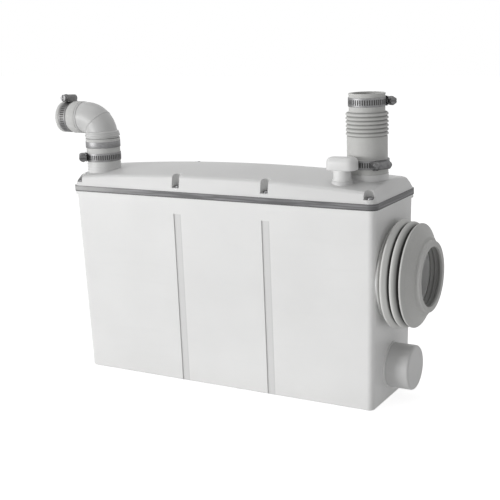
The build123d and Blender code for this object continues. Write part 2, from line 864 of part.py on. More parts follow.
# Vent
def make_vent_stem():
    stem = rod(vent_stem_radius, vent_foot_bottom, vent_stem_top)
    shoulder_low = vent_foot_top + seat_gap
    stem += rod(vent_shoulder_radius, shoulder_low, shoulder_low + vent_shoulder_height)
    stem -= rod(vent_stem_radius - vent_stem_wall, vent_foot_bottom, vent_stem_top)
    return Pos(vent_x, vent_y, 0) * stem


def make_vent_filter():
    radius = vent_stem_radius - vent_stem_wall - seat_gap
    return Pos(vent_x, vent_y, 0) * rod(radius, vent_stem_top - filter_height, vent_stem_top)


def make_vent_cap():
    top = vent_cap_bottom + vent_cap_height
    cap = slab(vent_cap_length, vent_cap_depth, vent_cap_corner, vent_cap_bottom, top)
    cap = fillet(cap.faces().sort_by(Axis.Z)[-1].edges(), vent_cap_edge)
    cap -= rod(vent_stem_radius + body_gap, vent_cap_bottom, vent_stem_top + body_gap)
    return Pos(vent_x, vent_y, 0) * cap


# Cable gland
def gland_place():
    return Pos(gland_x, rim_depth / 2 + gland_boss_reach, gland_height) * Rot(-90, 0, 0)


def make_gland_body():
    body = rod(gland_thread_radius, -gland_thread_length, 0)
    body += extrude(RegularPolygon(gland_flange_radius, 6), gland_flange_length)
    body_top = gland_flange_length + gland_body_length
    body += rod(gland_body_radius - gland_nut_wall, gland_flange_length, body_top)
    body -= rod(gland_bore, -gland_thread_length, body_top)
    return gland_place() * body


def make_gland_nut():
    low = gland_flange_length + seat_gap
    high = low + gland_nut_length
    nut = extrude(Pos(0, 0, low) * RegularPolygon(gland_nut_radius, 6), gland_nut_length / 2)
    nut += rod(gland_body_radius, low, high)
    nut = fillet(nut.faces().sort_by(Axis.Z)[-1].edges(), gland_nut_wall)
    nut_bore = gland_body_radius - gland_nut_wall + seat_gap
    nut -= rod(nut_bore, low, gland_flange_length + gland_body_length + seat_gap)
    nut -= rod(gland_bore, low, high)
    return gland_place() * nut


def make_gland_locknut():
    high = screw_y - rim_depth / 2 - gland_boss_reach - seat_gap
    outline = Pos(0, 0, high - gland_locknut_length) * RegularPolygon(gland_locknut_radius, 6)
    nut = extrude(outline, gland_locknut_length)
    nut -= rod(gland_thread_radius + seat_gap, high - gland_locknut_length, high)
    return gland_place() * nut


# Pump
def pump_port(radius, start):
    port = Pos(motor_x, outlet_y, pump_port_height) * Rot(0, -90, 0)
    return port * rod(radius, start, pump_port_length)


def make_pump_body():
    body = rod(pump_radius, pump_base, pump_top)
    for index in range(3):
        foot = Pos(pump_foot_circle, 0, 0) * rod(pump_foot_radius, floor_thickness, pump_base)
        body += Rot(0, 0, 120 * index) * foot
    body = Pos(motor_x, 0, 0) * body + pump_port(pump_port_radius + pump_port_wall, 0)
    body -= Pos(motor_x, 0, 0) * rod(pump_radius - pump_wall, pump_base + pump_floor, pump_top)
    return body - pump_port(pump_port_radius, 0)


def make_pump_cover():
    cover = tube(pump_radius, pump_eye_radius, pump_top, cover_top)
    return Pos(motor_x, 0, 0) * cover


def make_impeller():
    low = pump_base + pump_floor + impeller_lift
    disc_top = low + impeller_disc
    vane_top = disc_top + impeller_vane_height
    wheel = rod(impeller_radius, low, disc_top) + rod(impeller_hub_radius, low, vane_top)
    half = impeller_vane_thickness / 2
    for index in range(impeller_vane_count):
        vane = block(0, impeller_radius, -half, half, low, vane_top)
        vane &= rod(impeller_radius, low, vane_top)
        wheel += Rot(0, 0, 360 * index / impeller_vane_count) * vane
    wheel -= rod(shaft_radius + seat_gap / 2, low, vane_top)
    return Pos(motor_x, 0, 0) * wheel


# Cutter
def make_basket():
    basket = rod(basket_radius, cover_top, basket_top)
    basket += rod(basket_flange_radius, basket_top - basket_flange_height, basket_top)
    basket -= rod(basket_radius - basket_wall, cover_top + basket_wall, basket_top)
    basket -= rod(pump_eye_radius, cover_top, basket_top)
    for index in range(basket_hole_count):
        hole = Pos(basket_hole_circle, 0, 0) * rod(basket_hole_radius, cover_top, cover_top + basket_wall)
        basket -= Rot(0, 0, 360 * index / basket_hole_count) * hole
    low = cover_top + basket_slot_low
    high = basket_top - basket_slot_high
    half = basket_slot_width / 2
    for index in range(basket_slot_count):
        slot = block(basket_radius - basket_wall * 2, basket_radius + basket_wall, -half, half, low, high)
        basket -= Rot(0, 0, 360 * index / basket_slot_count) * slot
    return Pos(motor_x, 0, 0) * basket - chute_tube(pan_bore, chute_end_bore)


def make_blade():
    low = blade_level
    blade = rod(blade_hub_radius, low, low + blade_hub_height)
    half = blade_width / 2
    arm_low = low + (blade_hub_height - blade_thickness) / 2
    arm_high = arm_low + blade_thickness
    reach = blade_reach
    outline = Polyline((-reach, -half), (reach, 0), (reach, half), (-reach, 0), close=True)
    arm = Pos(0, 0, arm_low) * extrude(make_face(outline), arm_high - arm_low)
    blade += arm & rod(blade_reach, arm_low, arm_high)
    blade -= rod(shaft_radius + seat_gap / 2, low, low + blade_hub_height)
    return Pos(motor_x, 0, 0) * blade


# Motor
def make_motor_housing():
    can = rod(motor_radius, basket_top, motor_top)
    can += rod(basket_flange_radius, basket_top, basket_top + motor_flange_height)
    can -= rod(motor_radius - motor_wall, motor_inside, motor_top)
    collar = bearing_radius + bearing_collar
    can += tube(collar, bearing_radius + seat_gap / 2, motor_inside, bearing_low + bearing_width)
    can -= rod(seal_radius + seat_gap / 2, basket_top, motor_inside)
    return Pos(motor_x, 0, 0) * can


def make_motor_cap():
    cap = rod(motor_cap_radius, motor_top, motor_top + motor_cap_thickness)
    collar = bearing_radius + bearing_collar
    cap += tube(collar, bearing_radius + seat_gap / 2, bearing_high, motor_top)
    return Pos(motor_x, 0, 0) * cap


def make_bearings():
    rings = []
    for low in (bearing_low, bearing_high):
        ring = tube(bearing_radius, shaft_radius + running_fit, low, low + bearing_width)
        rings.append(Pos(motor_x, 0, 0) * ring)
    return rings


def make_shaft_seal():
    seal = tube(seal_radius, shaft_radius + running_fit, basket_top - seal_lip, motor_inside)
    return Pos(motor_x, 0, 0) * seal


def make_shaft():
    return Pos(motor_x, 0, 0) * rod(shaft_radius, shaft_foot, motor_top - bearing_end_gap)


def make_stator():
    return Pos(motor_x, 0, 0) * tube(stator_radius, stator_bore, stator_low, stator_high)


def make_windings():
    low_ring = tube(winding_radius, winding_bore, stator_low - winding_height, stator_low)
    high_ring = tube(winding_radius, winding_bore, stator_high, stator_high + winding_height)
    return [Pos(motor_x, 0, 0) * low_ring, Pos(motor_x, 0, 0) * high_ring]


def make_rotor():
    middle = (stator_low + stator_high) / 2
    radius = stator_bore - rotor_air_gap
    ring = tube(radius, shaft_radius + seat_gap / 2, middle - rotor_height / 2, middle + rotor_height / 2)
    return Pos(motor_x, 0, 0) * ring


# Chute
def chute_tube(start_radius, end_radius):
    upper = Pos(chute_start, 0, pan_height) * Rot(0, 90, 0) * Circle(start_radius)
    lower = Pos(motor_x, 0, chute_end_height) * Rot(0, 90, 0) * Circle(end_radius)
    return loft([upper, lower], ruled=True)


def make_chute():
    outer = chute_tube(pan_bore + chute_wall, chute_end_bore + chute_wall)
    flange_low = chute_start - chute_flange_thickness
    outer += along_x(0, pan_height) * rod(chute_flange_radius, flange_low, chute_start)
    outer -= chute_tube(pan_bore, chute_end_bore)
    outer -= Pos(motor_x, 0, 0) * rod(basket_radius + body_gap, cover_top, basket_top)
    flange_low = basket_top - basket_flange_height - body_gap
    return outer - Pos(motor_x, 0, 0) * rod(basket_flange_radius + body_gap, flange_low, basket_top)


# Riser and discharge valve
def make_riser():
    start = motor_x - pump_port_length
    bend_x = outlet_x + riser_bend_radius
    bend_z = pump_port_height + riser_bend_radius
    top = valve_bottom + valve_socket_depth
    wall = riser_radius - pump_port_radius
    run = Pos(start, outlet_y, pump_port_height) * Rot(0, -90, 0)
    run *= tube(riser_radius, riser_radius - wall, 0, start - bend_x)
    ring = Circle(riser_radius) - Circle(riser_radius - wall)
    ring = Pos(-riser_bend_radius, 0, 0) * ring
    bend = Pos(bend_x, outlet_y, bend_z) * revolve(ring, Axis((0, 0, 0), (0, -1, 0)), 90)
    rise = Pos(outlet_x, outlet_y, 0) * tube(riser_radius, riser_radius - wall, bend_z, top)
    return run + bend + rise


def make_valve_body():
    seat_low = valve_bottom + valve_socket_depth
    body = rod(valve_radius, valve_bottom, valve_top)
    body -= rod(riser_radius + seat_gap, valve_bottom, seat_low)
    body -= rod(valve_seat_bore, seat_low, valve_top)
    body -= rod(valve_bore, seat_level, valve_top)
    for ear in flap_ears(outlet_flap_radius + flap_hinge_margin):
        body += Pos(0, 0, seat_level) * ear
    return Pos(outlet_x, outlet_y, 0) * body


# Flap valves: the seat is the plane Z = 0, the flap lies on its upper side and is hinged at +X
def flap_ears(hinge):
    ears = []
    low = flap_barrel_half + body_gap
    for side in (-1, 1):
        y_low, y_high = sorted((side * low, side * (low + flap_ear_width)))
        top = flap_hinge_height + flap_ear_half
        ear = block(hinge - flap_ear_half, hinge + flap_ear_half, y_low, y_high, 0, top)
        pin_room = rod(flap_pin_radius + seat_gap, -low * 2, low * 2)
        pin = Pos(hinge, 0, flap_hinge_height) * Rot(90, 0, 0) * pin_room
        ears.append(ear - pin)
    return ears


def make_flap(radius):
    hinge = radius + flap_hinge_margin
    disc = rod(radius, body_gap, body_gap + flap_thickness)
    keep = radius - flap_cut_margin
    disc &= block(-radius, keep, -radius, radius, 0, flap_thickness * 2)
    disc += block(0, hinge, -flap_barrel_half, flap_barrel_half, body_gap, body_gap + flap_thickness)
    barrel = Pos(hinge, 0, flap_hinge_height) * Rot(90, 0, 0)
    disc += barrel * rod(flap_barrel_radius, -flap_barrel_half, flap_barrel_half)
    pin_end = flap_barrel_half + flap_pin_reach
    return disc + barrel * rod(flap_pin_radius, -pin_end, pin_end)


def make_outlet_flap():
    return Pos(outlet_x, outlet_y, seat_level) * make_flap(outlet_flap_radius)


def make_inlet_flap():
    return Pos(inlet_x, 0, inlet_skirt_end) * Rot(180, 0, 0) * make_flap(inlet_flap_radius)


# Pressure switch
def make_bell():
    bell = rod(bell_tube_radius, bell_foot, bell_shoulder)
    bell += rod(bell_chamber_radius, bell_shoulder - bell_wall, bell_top)
    bell -= rod(bell_tube_radius - bell_wall, bell_foot, bell_shoulder)
    bell -= rod(bell_chamber_radius - bell_wall, bell_shoulder, bell_top)
    return Pos(bell_x, bell_y, 0) * bell


def make_diaphragm():
    disc = rod(bell_chamber_radius, bell_top, diaphragm_top)
    return Pos(bell_x, bell_y, 0) * disc


def make_switch_seat():
    seat = rod(bell_chamber_radius, diaphragm_top, box_level)
    seat -= rod(bell_chamber_radius - bell_wall, diaphragm_top, box_level - bell_wall)
    seat -= rod(plunger_radius + body_gap, diaphragm_top, box_level)
    return Pos(bell_x, bell_y, 0) * seat


def make_plunger():
    low = diaphragm_top + body_gap
    button_foot = switch_level - plunger_travel - body_gap
    plunger = rod(plunger_plate_radius, low, low + plunger_plate_height)
    plunger += rod(plunger_radius, low, button_foot - body_gap)
    return Pos(bell_x, bell_y, 0) * plunger


def make_switch_button():
    foot = switch_level - plunger_travel - body_gap
    return Pos(bell_x, bell_y, 0) * rod(button_radius, foot, switch_level + plunger_travel)


def make_switch():
    half = switch_length / 2
    side = switch_width / 2
    body = block(-half, half, -side, side, switch_level, switch_level + switch_height)
    body -= rod(button_radius + body_gap, switch_level, switch_level + button_stroke_hole + plunger_travel)
    return Pos(bell_x, bell_y, 0) * body


# Control box
def make_control_box():
    place = Pos(box_x, bell_y, 0)
    box = slab(box_length, box_width, box_corner, box_level, box_top)
    inner_width = box_length - 2 * box_wall
    inner_depth = box_width - 2 * box_wall
    box -= slab(inner_width, inner_depth, box_corner - box_wall, box_level + box_floor, box_top)
    box = place * box
    half = switch_length / 2
    side = switch_width / 2
    for along in (-1, 1):
        x_low, x_high = sorted((along * half, along * (half - switch_pedestal_length)))
        pedestal = block(x_low, x_high, -side, side, box_level, switch_level)
        box += Pos(bell_x, bell_y, 0) * pedestal
    return box - Pos(bell_x, bell_y, 0) * rod(plunger_radius + body_gap, box_level, box_level + box_floor)


def make_box_cover():
    return Pos(box_x, bell_y, 0) * slab(box_length, box_width, box_corner, box_top, cover_level)


def make_capacitor():
    low = box_level + box_floor
    high = low + capacitor_height
    can = fillet(rod(capacitor_radius, low, high).faces().sort_by(Axis.Z)[-1].edges(), capacitor_tag_width)
    half = capacitor_tag_width / 2
    reach = capacitor_tag_length / 2
    for side in (-1, 1):
        middle = side * capacitor_tag_spacing / 2
        can += block(middle - half, middle + half, -reach, reach, high, high + capacitor_tag_height)
    return Pos(capacitor_x, bell_y, 0) * can


def make_terminal_block():
    low = box_level + box_floor
    top = low + terminal_height
    half = terminal_length / 2
    side = terminal_width / 2
    body = block(-half, half, -side, side, low, top)
    pitch = terminal_width / terminal_hole_count
    for index in range(terminal_hole_count):
        place = Pos(0, -side + pitch * (index + 1 / 2), 0)
        body -= place * rod(terminal_hole_radius, top - terminal_hole_depth, top)
    return Pos(terminal_x, bell_y, 0) * body


nodes = {
    "tank": make_tank,
    "gasket": make_gasket,
    "lid": make_lid,
    "lid_screws": make_lid_screws,
    "pan_connector": make_pan_connector,
    "spare_cap": make_spare_cap,
    "inlet_sleeve": make_inlet_sleeve,
    "outlet_coupling": make_coupling,
    "outlet_plain_band": make_plain_band,
    "outlet_elbow": make_elbow,
    "outlet_cuff": make_elbow_cuff,
    "vent_stem": make_vent_stem,
    "vent_filter": make_vent_filter,
    "vent_cap": make_vent_cap,
    "gland_body": make_gland_body,
    "gland_nut": make_gland_nut,
    "gland_locknut": make_gland_locknut,
    "pump_body": make_pump_body,
    "pump_cover": make_pump_cover,
    "pump_impeller": make_impeller,
    "cutter_basket": make_basket,
    "cutter_blade": make_blade,
    "motor_housing": make_motor_housing,
    "motor_cap": make_motor_cap,
    "motor_bearings": make_bearings,
    "motor_shaft_seal": make_shaft_seal,
    "motor_shaft": make_shaft,
    "motor_stator": make_stator,
    "motor_windings": make_windings,
    "motor_rotor": make_rotor,
    "inlet_chute": make_chute,
    "inlet_flap": make_inlet_flap,
    "riser_pipe": make_riser,
    "valve_body": make_valve_body,
    "valve_flap": make_outlet_flap,
    "pressure_bell": make_bell,
    "pressure_diaphragm": make_diaphragm,
    "pressure_seat": make_switch_seat,
    "pressure_plunger": make_plunger,
    "switch_body": make_switch,
    "switch_button": make_switch_button,
    "control_box": make_control_box,
    "control_cover": make_box_cover,
    "capacitor": make_capacitor,
    "terminal_block": make_terminal_block,
}

for name, make in nodes.items():
    shape = make()
    if isinstance(shape, list):
        shape = Compound(children=shape)
    export_step(shape, "parts/" + name + ".step")

for name, (radius, place) in clamp_places.items():
    export_step(place * clamp_band(radius), "parts/clamp_" + name + "_band.step")
    export_step(place * clamp_housing(radius), "parts/clamp_" + name + "_housing.step")
    export_step(place * clamp_worm(radius), "parts/clamp_" + name + "_worm.step")
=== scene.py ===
import json
from math import atan2, cos, pi, radians, sin

import bmesh
import bpy
from bpy.props import FloatProperty, FloatVectorProperty, PointerProperty
from mathutils import Matrix, Vector

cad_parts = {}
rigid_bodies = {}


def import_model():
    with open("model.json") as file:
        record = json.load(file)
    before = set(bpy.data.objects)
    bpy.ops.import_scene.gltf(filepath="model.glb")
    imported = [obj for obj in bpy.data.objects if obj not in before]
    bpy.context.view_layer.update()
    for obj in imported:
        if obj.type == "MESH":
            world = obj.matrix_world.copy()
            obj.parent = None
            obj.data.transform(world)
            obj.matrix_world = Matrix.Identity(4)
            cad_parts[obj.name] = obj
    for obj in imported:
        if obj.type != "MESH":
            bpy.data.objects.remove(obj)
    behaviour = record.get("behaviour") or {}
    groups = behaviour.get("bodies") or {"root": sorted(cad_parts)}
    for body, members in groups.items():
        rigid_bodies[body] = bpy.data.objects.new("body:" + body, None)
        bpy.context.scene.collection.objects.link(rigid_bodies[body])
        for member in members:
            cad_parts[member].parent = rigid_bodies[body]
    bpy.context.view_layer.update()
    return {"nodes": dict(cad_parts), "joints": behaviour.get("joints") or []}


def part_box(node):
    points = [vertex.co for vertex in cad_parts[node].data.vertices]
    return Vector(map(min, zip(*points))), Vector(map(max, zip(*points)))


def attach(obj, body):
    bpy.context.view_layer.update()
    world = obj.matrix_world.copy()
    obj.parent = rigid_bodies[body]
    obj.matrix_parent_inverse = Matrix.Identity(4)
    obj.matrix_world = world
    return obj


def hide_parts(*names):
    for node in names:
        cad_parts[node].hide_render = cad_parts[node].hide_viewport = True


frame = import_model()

bl_info = {
    "name": "Macerator toilet pump",
    "version": (1, 0, 0),
    "blender": (4, 5, 0),
    "location": "3D Viewport > Sidebar > Pump",
    "description": "Builds the looks of a slim macerator pump around its packed model",
    "category": "Object",
}

MM = 0.001

# Camera and lamps: angles in radians, places and sizes in metres
CAMERA_YAW, CAMERA_PITCH, CAMERA_ROLL = 0.522, 0.228, 0.035
CAMERA_PLACE = (0.7682, -1.3055, 0.5428)
SENSOR_WIDTH = 36.0
FOCAL_PIXELS = 1047.18
PICTURE_PIXELS = 500.0
KEY_PLACE, KEY_SIZE = (-4.4, -5.55, 0.80), (3.5, 1.6)
TOP_PLACE, TOP_SIZE = (-0.2, 0.35, 2.4), (1.4, 1.2)
TOP_SHARE = 0.036
WORLD_LEFT, WORLD_RIGHT = 1.10, 1.08

# Grooves of the tank, which get painted shade, in metres: places along X, half width, gap to the
# tank's top, and the distance from the middle of the tank past which they lie
GROOVE_PLACES = (-0.062, 0.083)
GROOVE_HALF = 0.0061
GROOVE_DROP = 0.0328
GROOVE_FRONT = 0.060

# Sizes of the fittings in millimetres, and angles in degrees
MERGE_GAP = 0.004
FIN_START, FIN_PITCH = 9.0, 12.5
RIB_COUNT, RIB_SPAN, RIB_DROP = 6, 31.8, 24.8
ELBOW_RADIUS, STUB_RADIUS = 23.15, 18.5
ELBOW_BEND, ELBOW_WALL = 26.5, 2.9
ELBOW_REACH, STUB_LENGTH = 8.4, 24.0
BAND_WALL, SLOT_HALF, SLOT_PITCH, SLOT_DEPTH = 0.8, 3.5, 3.3, 0.6
PLAIN_HALF = 11.5
TAIL_START, TAIL_ANGLE = 10.2, 38
HOUSING_HALF, HOUSING_WALL, HOUSING_TAIL_ANGLE = 9.4, 0.8, 16
THREAD_PITCH, THREAD_TURNS, THREAD_STEPS = 2.9, 6, 24
WORM_START = -12.5
SCREW_SLOT_HALF = 0.8


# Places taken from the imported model
def joint_of(name):
    for joint in frame["joints"]:
        if joint["name"] == name:
            return joint
    raise RuntimeError("the frame has no joint named " + name)


TANK_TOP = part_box("tank")[1].z
SLEEVE_LOW, SLEEVE_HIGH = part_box("inlet_sleeve")
PAN_LOW, PAN_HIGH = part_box("pan_connector")
ELBOW_POS = Vector(joint_of("elbow_swivel")["pos_m"])


# Shader maths
class Signal:
    """A value that runs through a tree of nodes. Expressions on signals add Math nodes."""

    def __init__(self, nodes, socket):
        self.nodes = nodes
        self.socket = socket

    def sums(self, operation, *values):
        return self.nodes.node("ShaderNodeMath", {"operation": operation}, dict(enumerate(values)))

    def __add__(self, other):
        return self.sums("ADD", self, other)

    def __radd__(self, other):
        return self.sums("ADD", other, self)

    def __sub__(self, other):
        return self.sums("SUBTRACT", self, other)

    def __rsub__(self, other):
        return self.sums("SUBTRACT", other, self)

    def __mul__(self, other):
        return self.sums("MULTIPLY", self, other)

    def __rmul__(self, other):
        return self.sums("MULTIPLY", other, self)

    def __pow__(self, other):
        return self.sums("POWER", self, other)

    def __rpow__(self, other):
        return self.sums("POWER", other, self)

    def __abs__(self):
        return self.sums("ABSOLUTE", self)

    def sine(self):
        return self.sums("SINE", self)

    def over(self, level):
        return self.sums("GREATER_THAN", self, level)


class Nodes:
    """An emptied tree of nodes, and the methods that add nodes to it."""

    def __init__(self, tree):
        self.tree = tree
        self.tree.nodes.clear()

    def add(self, kind, settings=None, sockets=None):
        """Adds any node: its settings first, then the values or links of its sockets."""
        made = self.tree.nodes.new(kind)
        for key, value in (settings or {}).items():
            if key == "stops":
                self.set_stops(made.color_ramp, value)
            else:
                setattr(made, key, value)
        for key, value in (sockets or {}).items():
            self.feed(made.inputs[key], value)
        return made

    def node(self, kind, settings=None, sockets=None, outlet=0):
        """Adds any node and gives the signal of one of its outputs."""
        return Signal(self, self.add(kind, settings, sockets).outputs[outlet])

    def set_stops(self, ramp, stops):
        while len(ramp.elements) < len(stops):
            ramp.elements.new(1.0)
        for element, (place, shade) in zip(ramp.elements, stops):
            element.position = place
            element.color = (*shade, 1.0)

    def feed(self, socket, value):
        if isinstance(value, Signal):
            self.tree.links.new(value.socket, socket)
        elif isinstance(value, tuple) and socket.type == "RGBA":
            socket.default_value = (*value, 1.0)
        else:
            socket.default_value = value

    def span(self, signal, low, high, to_low=0.0, to_high=1.0):
        values = {
            "Value": signal, "From Min": low, "From Max": high, "To Min": to_low, "To Max": to_high}
        return self.node("ShaderNodeMapRange", {"clamp": True}, values)

    def rays(self, kind):
        """Is 1 for camera, glossy or transmission rays and 0 for others."""
        return self.node("ShaderNodeLightPath", None, None, "Is " + kind + " Ray")


class Finish(Nodes):
    """One material: its shader, and the nodes that vary its colour, roughness and relief."""

    def __init__(self, name, roughness=0.5, metallic=0.0, coat=0.0, specular=0.5):
        self.material = bpy.data.materials.new(name)
        self.material.use_nodes = True
        super().__init__(self.material.node_tree)
        self.shader = self.add("ShaderNodeBsdfPrincipled", None, {
            "Roughness": roughness, "Metallic": metallic, "Coat Weight": coat,
            "Specular IOR Level": specular})
        self.surface = Signal(self, self.shader.outputs[0])
        self.output = self.add("ShaderNodeOutputMaterial", None, {0: self.surface})
        self.place = self.node("ShaderNodeTexCoord", None, None, "Object")

    def along(self, axis):
        """Gives the place along X, Y or Z, by its number."""
        return self.node("ShaderNodeSeparateXYZ", None, {0: self.place}, axis)

    def noise(self, scale, detail=3.0, stretch=(1, 1, 1), distortion=0.0):
        lines = self.node("ShaderNodeMapping", None, {"Vector": self.place, "Scale": stretch})
        values = {"Vector": lines, "Scale": scale, "Detail": detail, "Distortion": distortion}
        return self.node("ShaderNodeTexNoise", None, values)

    def cells(self, scale):
        return self.node("ShaderNodeTexVoronoi", None, {"Vector": self.place, "Scale": scale})

    def ramp(self, signal, stops):
        return self.node("ShaderNodeValToRGB", {"stops": stops}, {0: signal})

    def blended(self, amount, first, second):
        """Mixes two colours, which are inputs 6 and 7 and output 2 of a Mix node."""
        settings = {"data_type": "RGBA", "clamp_factor": True}
        return self.node("ShaderNodeMix", settings, {0: amount, 6: first, 7: second}, 2)

    def colour(self, value):
        self.feed(self.shader.inputs["Base Color"], value)

    def roughness(self, value):
        self.feed(self.shader.inputs["Roughness"], value)

    def relief(self, signal, distance, strength=1.0):
        values = {"Height": signal, "Distance": distance, "Strength": strength}
        self.feed(self.shader.inputs["Normal"], self.node("ShaderNodeBump", None, values))


def tone(colour, factor):
    """Makes a colour darker or paler."""
    return tuple(min(1.0, part * factor) for part in colour)


# Finishes
def groove_shade_mask(finish, grooves):
    """Covers the upright grooves of the tank for painted shade, a little more at their edges."""
    places, half, top, front = grooves
    across = finish.along(0)
    outer = abs(finish.along(1)).over(front)
    low = finish.span(finish.along(2), top - 0.0012, top, 1.0, 0.0)
    mask = 0.0
    for place in places:
        offset = abs(across - place)
        inside = finish.span(offset, half, half + 0.0004, 1.0, 0.0)
        edge = finish.span(offset, half * 0.45, half, 0.72, 1.15)
        mask = inside * edge + mask
    return mask * outer * low


def moulded_shell(name, colour, grain, grooves=None):
    """Moulded plastic, a little uneven, dusty near the floor, with painted shade in any grooves."""
    finish = Finish(name, roughness=0.42, specular=0.45)
    cloud = finish.noise(9.0, 4.0)
    flow = finish.noise(26.0, 3.0, (0.5, 0.5, 3.0), 0.6)
    shade = finish.blended(finish.span(cloud, 0.35, 0.68), tone(colour, 0.975), tone(colour, 1.015))
    marks = finish.span(flow, 0.58, 0.8) * 0.35
    shade = finish.blended(marks, shade, tone(colour, 0.955))
    # Dust only here: darker, warmer patches near the floor.
    dust_and_sheen = finish.span(finish.along(2), 0.0, 0.035, 0.30, 0.0) * finish.noise(48.0, 4.0)
    dusty = (colour[0] * 0.86, colour[1] * 0.85, colour[2] * 0.83)
    shade = finish.blended(dust_and_sheen, shade, dusty)
    if grooves:
        # Painted shade darkens the tank's grooves, more at their edges.
        shade = finish.blended(groove_shade_mask(finish, grooves), shade, tone(colour, 0.81))
    finish.colour(shade)
    cloudy, flowing = finish.span(cloud, 0.3, 0.7), finish.span(flow, 0.4, 0.7)
    finish.roughness(0.36 + cloudy * 0.07 + flowing * 0.05)
    pitting = finish.noise(1400.0, 2.0) * 0.5 + finish.noise(420.0, 2.0) * 0.5
    finish.relief(pitting, 0.00012 * grain, 0.35)
    return finish.material


def painted_ring_mask(finish, folds):
    """Covers the ring of a turned piece where a fold's painted light is laid, fully at one radius
    and not at the other.
    """
    axis, centre, low, high, deep, shallow = folds
    reach = [finish.along(side) - centre[side] for side in range(3) if side != axis]
    radius = (reach[0] * reach[0] + reach[1] * reach[1]) ** 0.5
    along = finish.along(axis)
    after = finish.span(along, low - 0.0008, low, 0.0, 1.0)
    before = finish.span(along, high, high + 0.0006, 1.0, 0.0)
    return finish.span(radius, deep, shallow, 1.0, 0.0) * (after * before)


def soft_rubber(name, colour, bloom, folds=()):
    """Matt rubber with pale bloom and scuffs, and a ring of painted light for each fold: painted
    shade where its tone is below 1, a painted highlight where it is above 1.
    """
    finish = Finish(name, roughness=0.62, specular=0.35)
    cloud = finish.noise(22.0, 4.0)
    speck = finish.noise(330.0, 2.0)
    shade = finish.blended(finish.span(cloud, 0.32, 0.7), tone(colour, 0.94), tone(colour, 1.05))
    shade = finish.blended(finish.span(speck, 0.58, 0.74) * bloom, shade, tone(colour, 1.16))
    scuff = finish.span(finish.noise(64.0, 5.0, (1, 1, 4.0), 1.2), 0.6, 0.72)
    shade = finish.blended(scuff * 0.25, shade, tone(colour, 0.85))
    # Each fold's tone scales the colour in its ring: below 1 it is painted shade, above 1 a painted
    # highlight.
    for depth, fold in folds:
        shade = finish.blended(painted_ring_mask(finish, fold), shade, tone(colour, depth))
    finish.colour(shade)
    cloudy, specked = finish.span(cloud, 0.3, 0.7), finish.span(speck, 0.4, 0.7)
    finish.roughness(0.54 + cloudy * 0.10 + specked * 0.06)
    finish.relief(finish.noise(900.0, 3.0), 0.00015, 0.4)
    return finish.material


def dark_seal(name, colour):
    """Dark rubber of the inner seals and flaps, with a little dust."""
    finish = Finish(name, roughness=0.5, specular=0.4)
    cloud = finish.noise(30.0, 4.0)
    shade = finish.blended(finish.span(cloud, 0.3, 0.7), tone(colour, 0.8), tone(colour, 1.3))
    # Dust only here: paler patches.
    dust_and_sheen = finish.span(finish.noise(140.0, 3.0), 0.55, 0.75) * 0.4
    shade = finish.blended(dust_and_sheen, shade, tone(colour, 2.1))
    finish.colour(shade)
    finish.roughness(0.42 + finish.span(cloud, 0.3, 0.7) * 0.2)
    finish.relief(finish.noise(600.0, 3.0), 0.00016, 0.5)
    return finish.material


def pressed_seal(name, colour):
    """A gasket pressed between two flanges, with painted shade along its edges and a painted sheen
    in patches towards its left end.
    """
    finish = Finish(name, roughness=0.4, specular=0.5)
    low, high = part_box("gasket")
    share = finish.span(finish.along(2), low.z, high.z)
    streaks = finish.noise(26.0, 4.0, (0.5, 0.5, 9.0), 0.4)
    shade = finish.blended(finish.span(streaks, 0.40, 0.64), tone(colour, 0.60), tone(colour, 1.9))
    # Painted sheen: paler patches towards the left end, where the lamp's reflection falls on the
    # glossy face.
    leftward = finish.span(finish.along(0), -0.24, -0.10, 1.0, 0.0)
    dust_and_sheen = leftward * (0.55 + finish.noise(60.0, 3.0) * 0.6)
    shade = finish.blended(dust_and_sheen, shade, (0.46, 0.46, 0.455))
    # Painted shade along the edges where the gasket meets the flanges: full at the bottom, less at
    # the top.
    rim = finish.ramp(share, (
        (0.06, (1, 1, 1)), (0.28, (0, 0, 0)), (0.80, (0, 0, 0)), (0.98, (0.6, 0.6, 0.6))))
    finish.colour(finish.blended(rim, shade, tone(colour, 0.42)))
    finish.roughness(0.36 + finish.span(streaks, 0.3, 0.7) * 0.16)
    finish.relief(streaks + rim * -0.6, 0.0002, 0.5)
    return finish.material


def strip_steel(name, colour, stretch, roughness=0.5):
    """Drawn steel with fine lines along its strip and faint stains."""
    finish = Finish(name, roughness=roughness, metallic=1.0)
    lines = finish.noise(240.0, 4.0, stretch)
    cloud = finish.noise(38.0, 3.0)
    shade = finish.blended(finish.span(lines, 0.3, 0.7), tone(colour, 0.66), tone(colour, 1.12))
    stain = finish.span(cloud, 0.5, 0.74) * 0.55
    stained = (colour[0] * 0.60, colour[1] * 0.58, colour[2] * 0.55)
    finish.colour(finish.blended(stain, shade, stained))
    drawn, cloudy = finish.span(lines, 0.3, 0.7), finish.span(cloud, 0.4, 0.7)
    finish.roughness(roughness - 0.06 + drawn * 0.12 + cloudy * 0.08)
    finish.relief(lines, 0.00005, 0.4)
    return finish.material


def slot_shade(name):
    """Painted shade: the dark floors of a band's slots."""
    finish = Finish(name, roughness=0.7, metallic=0.3)
    dark, less_dark = (0.035, 0.034, 0.033), (0.085, 0.083, 0.08)
    finish.colour(finish.blended(finish.noise(300.0, 3.0), dark, less_dark))
    finish.relief(finish.noise(800.0, 2.0), 0.0001, 0.5)
    return finish.material


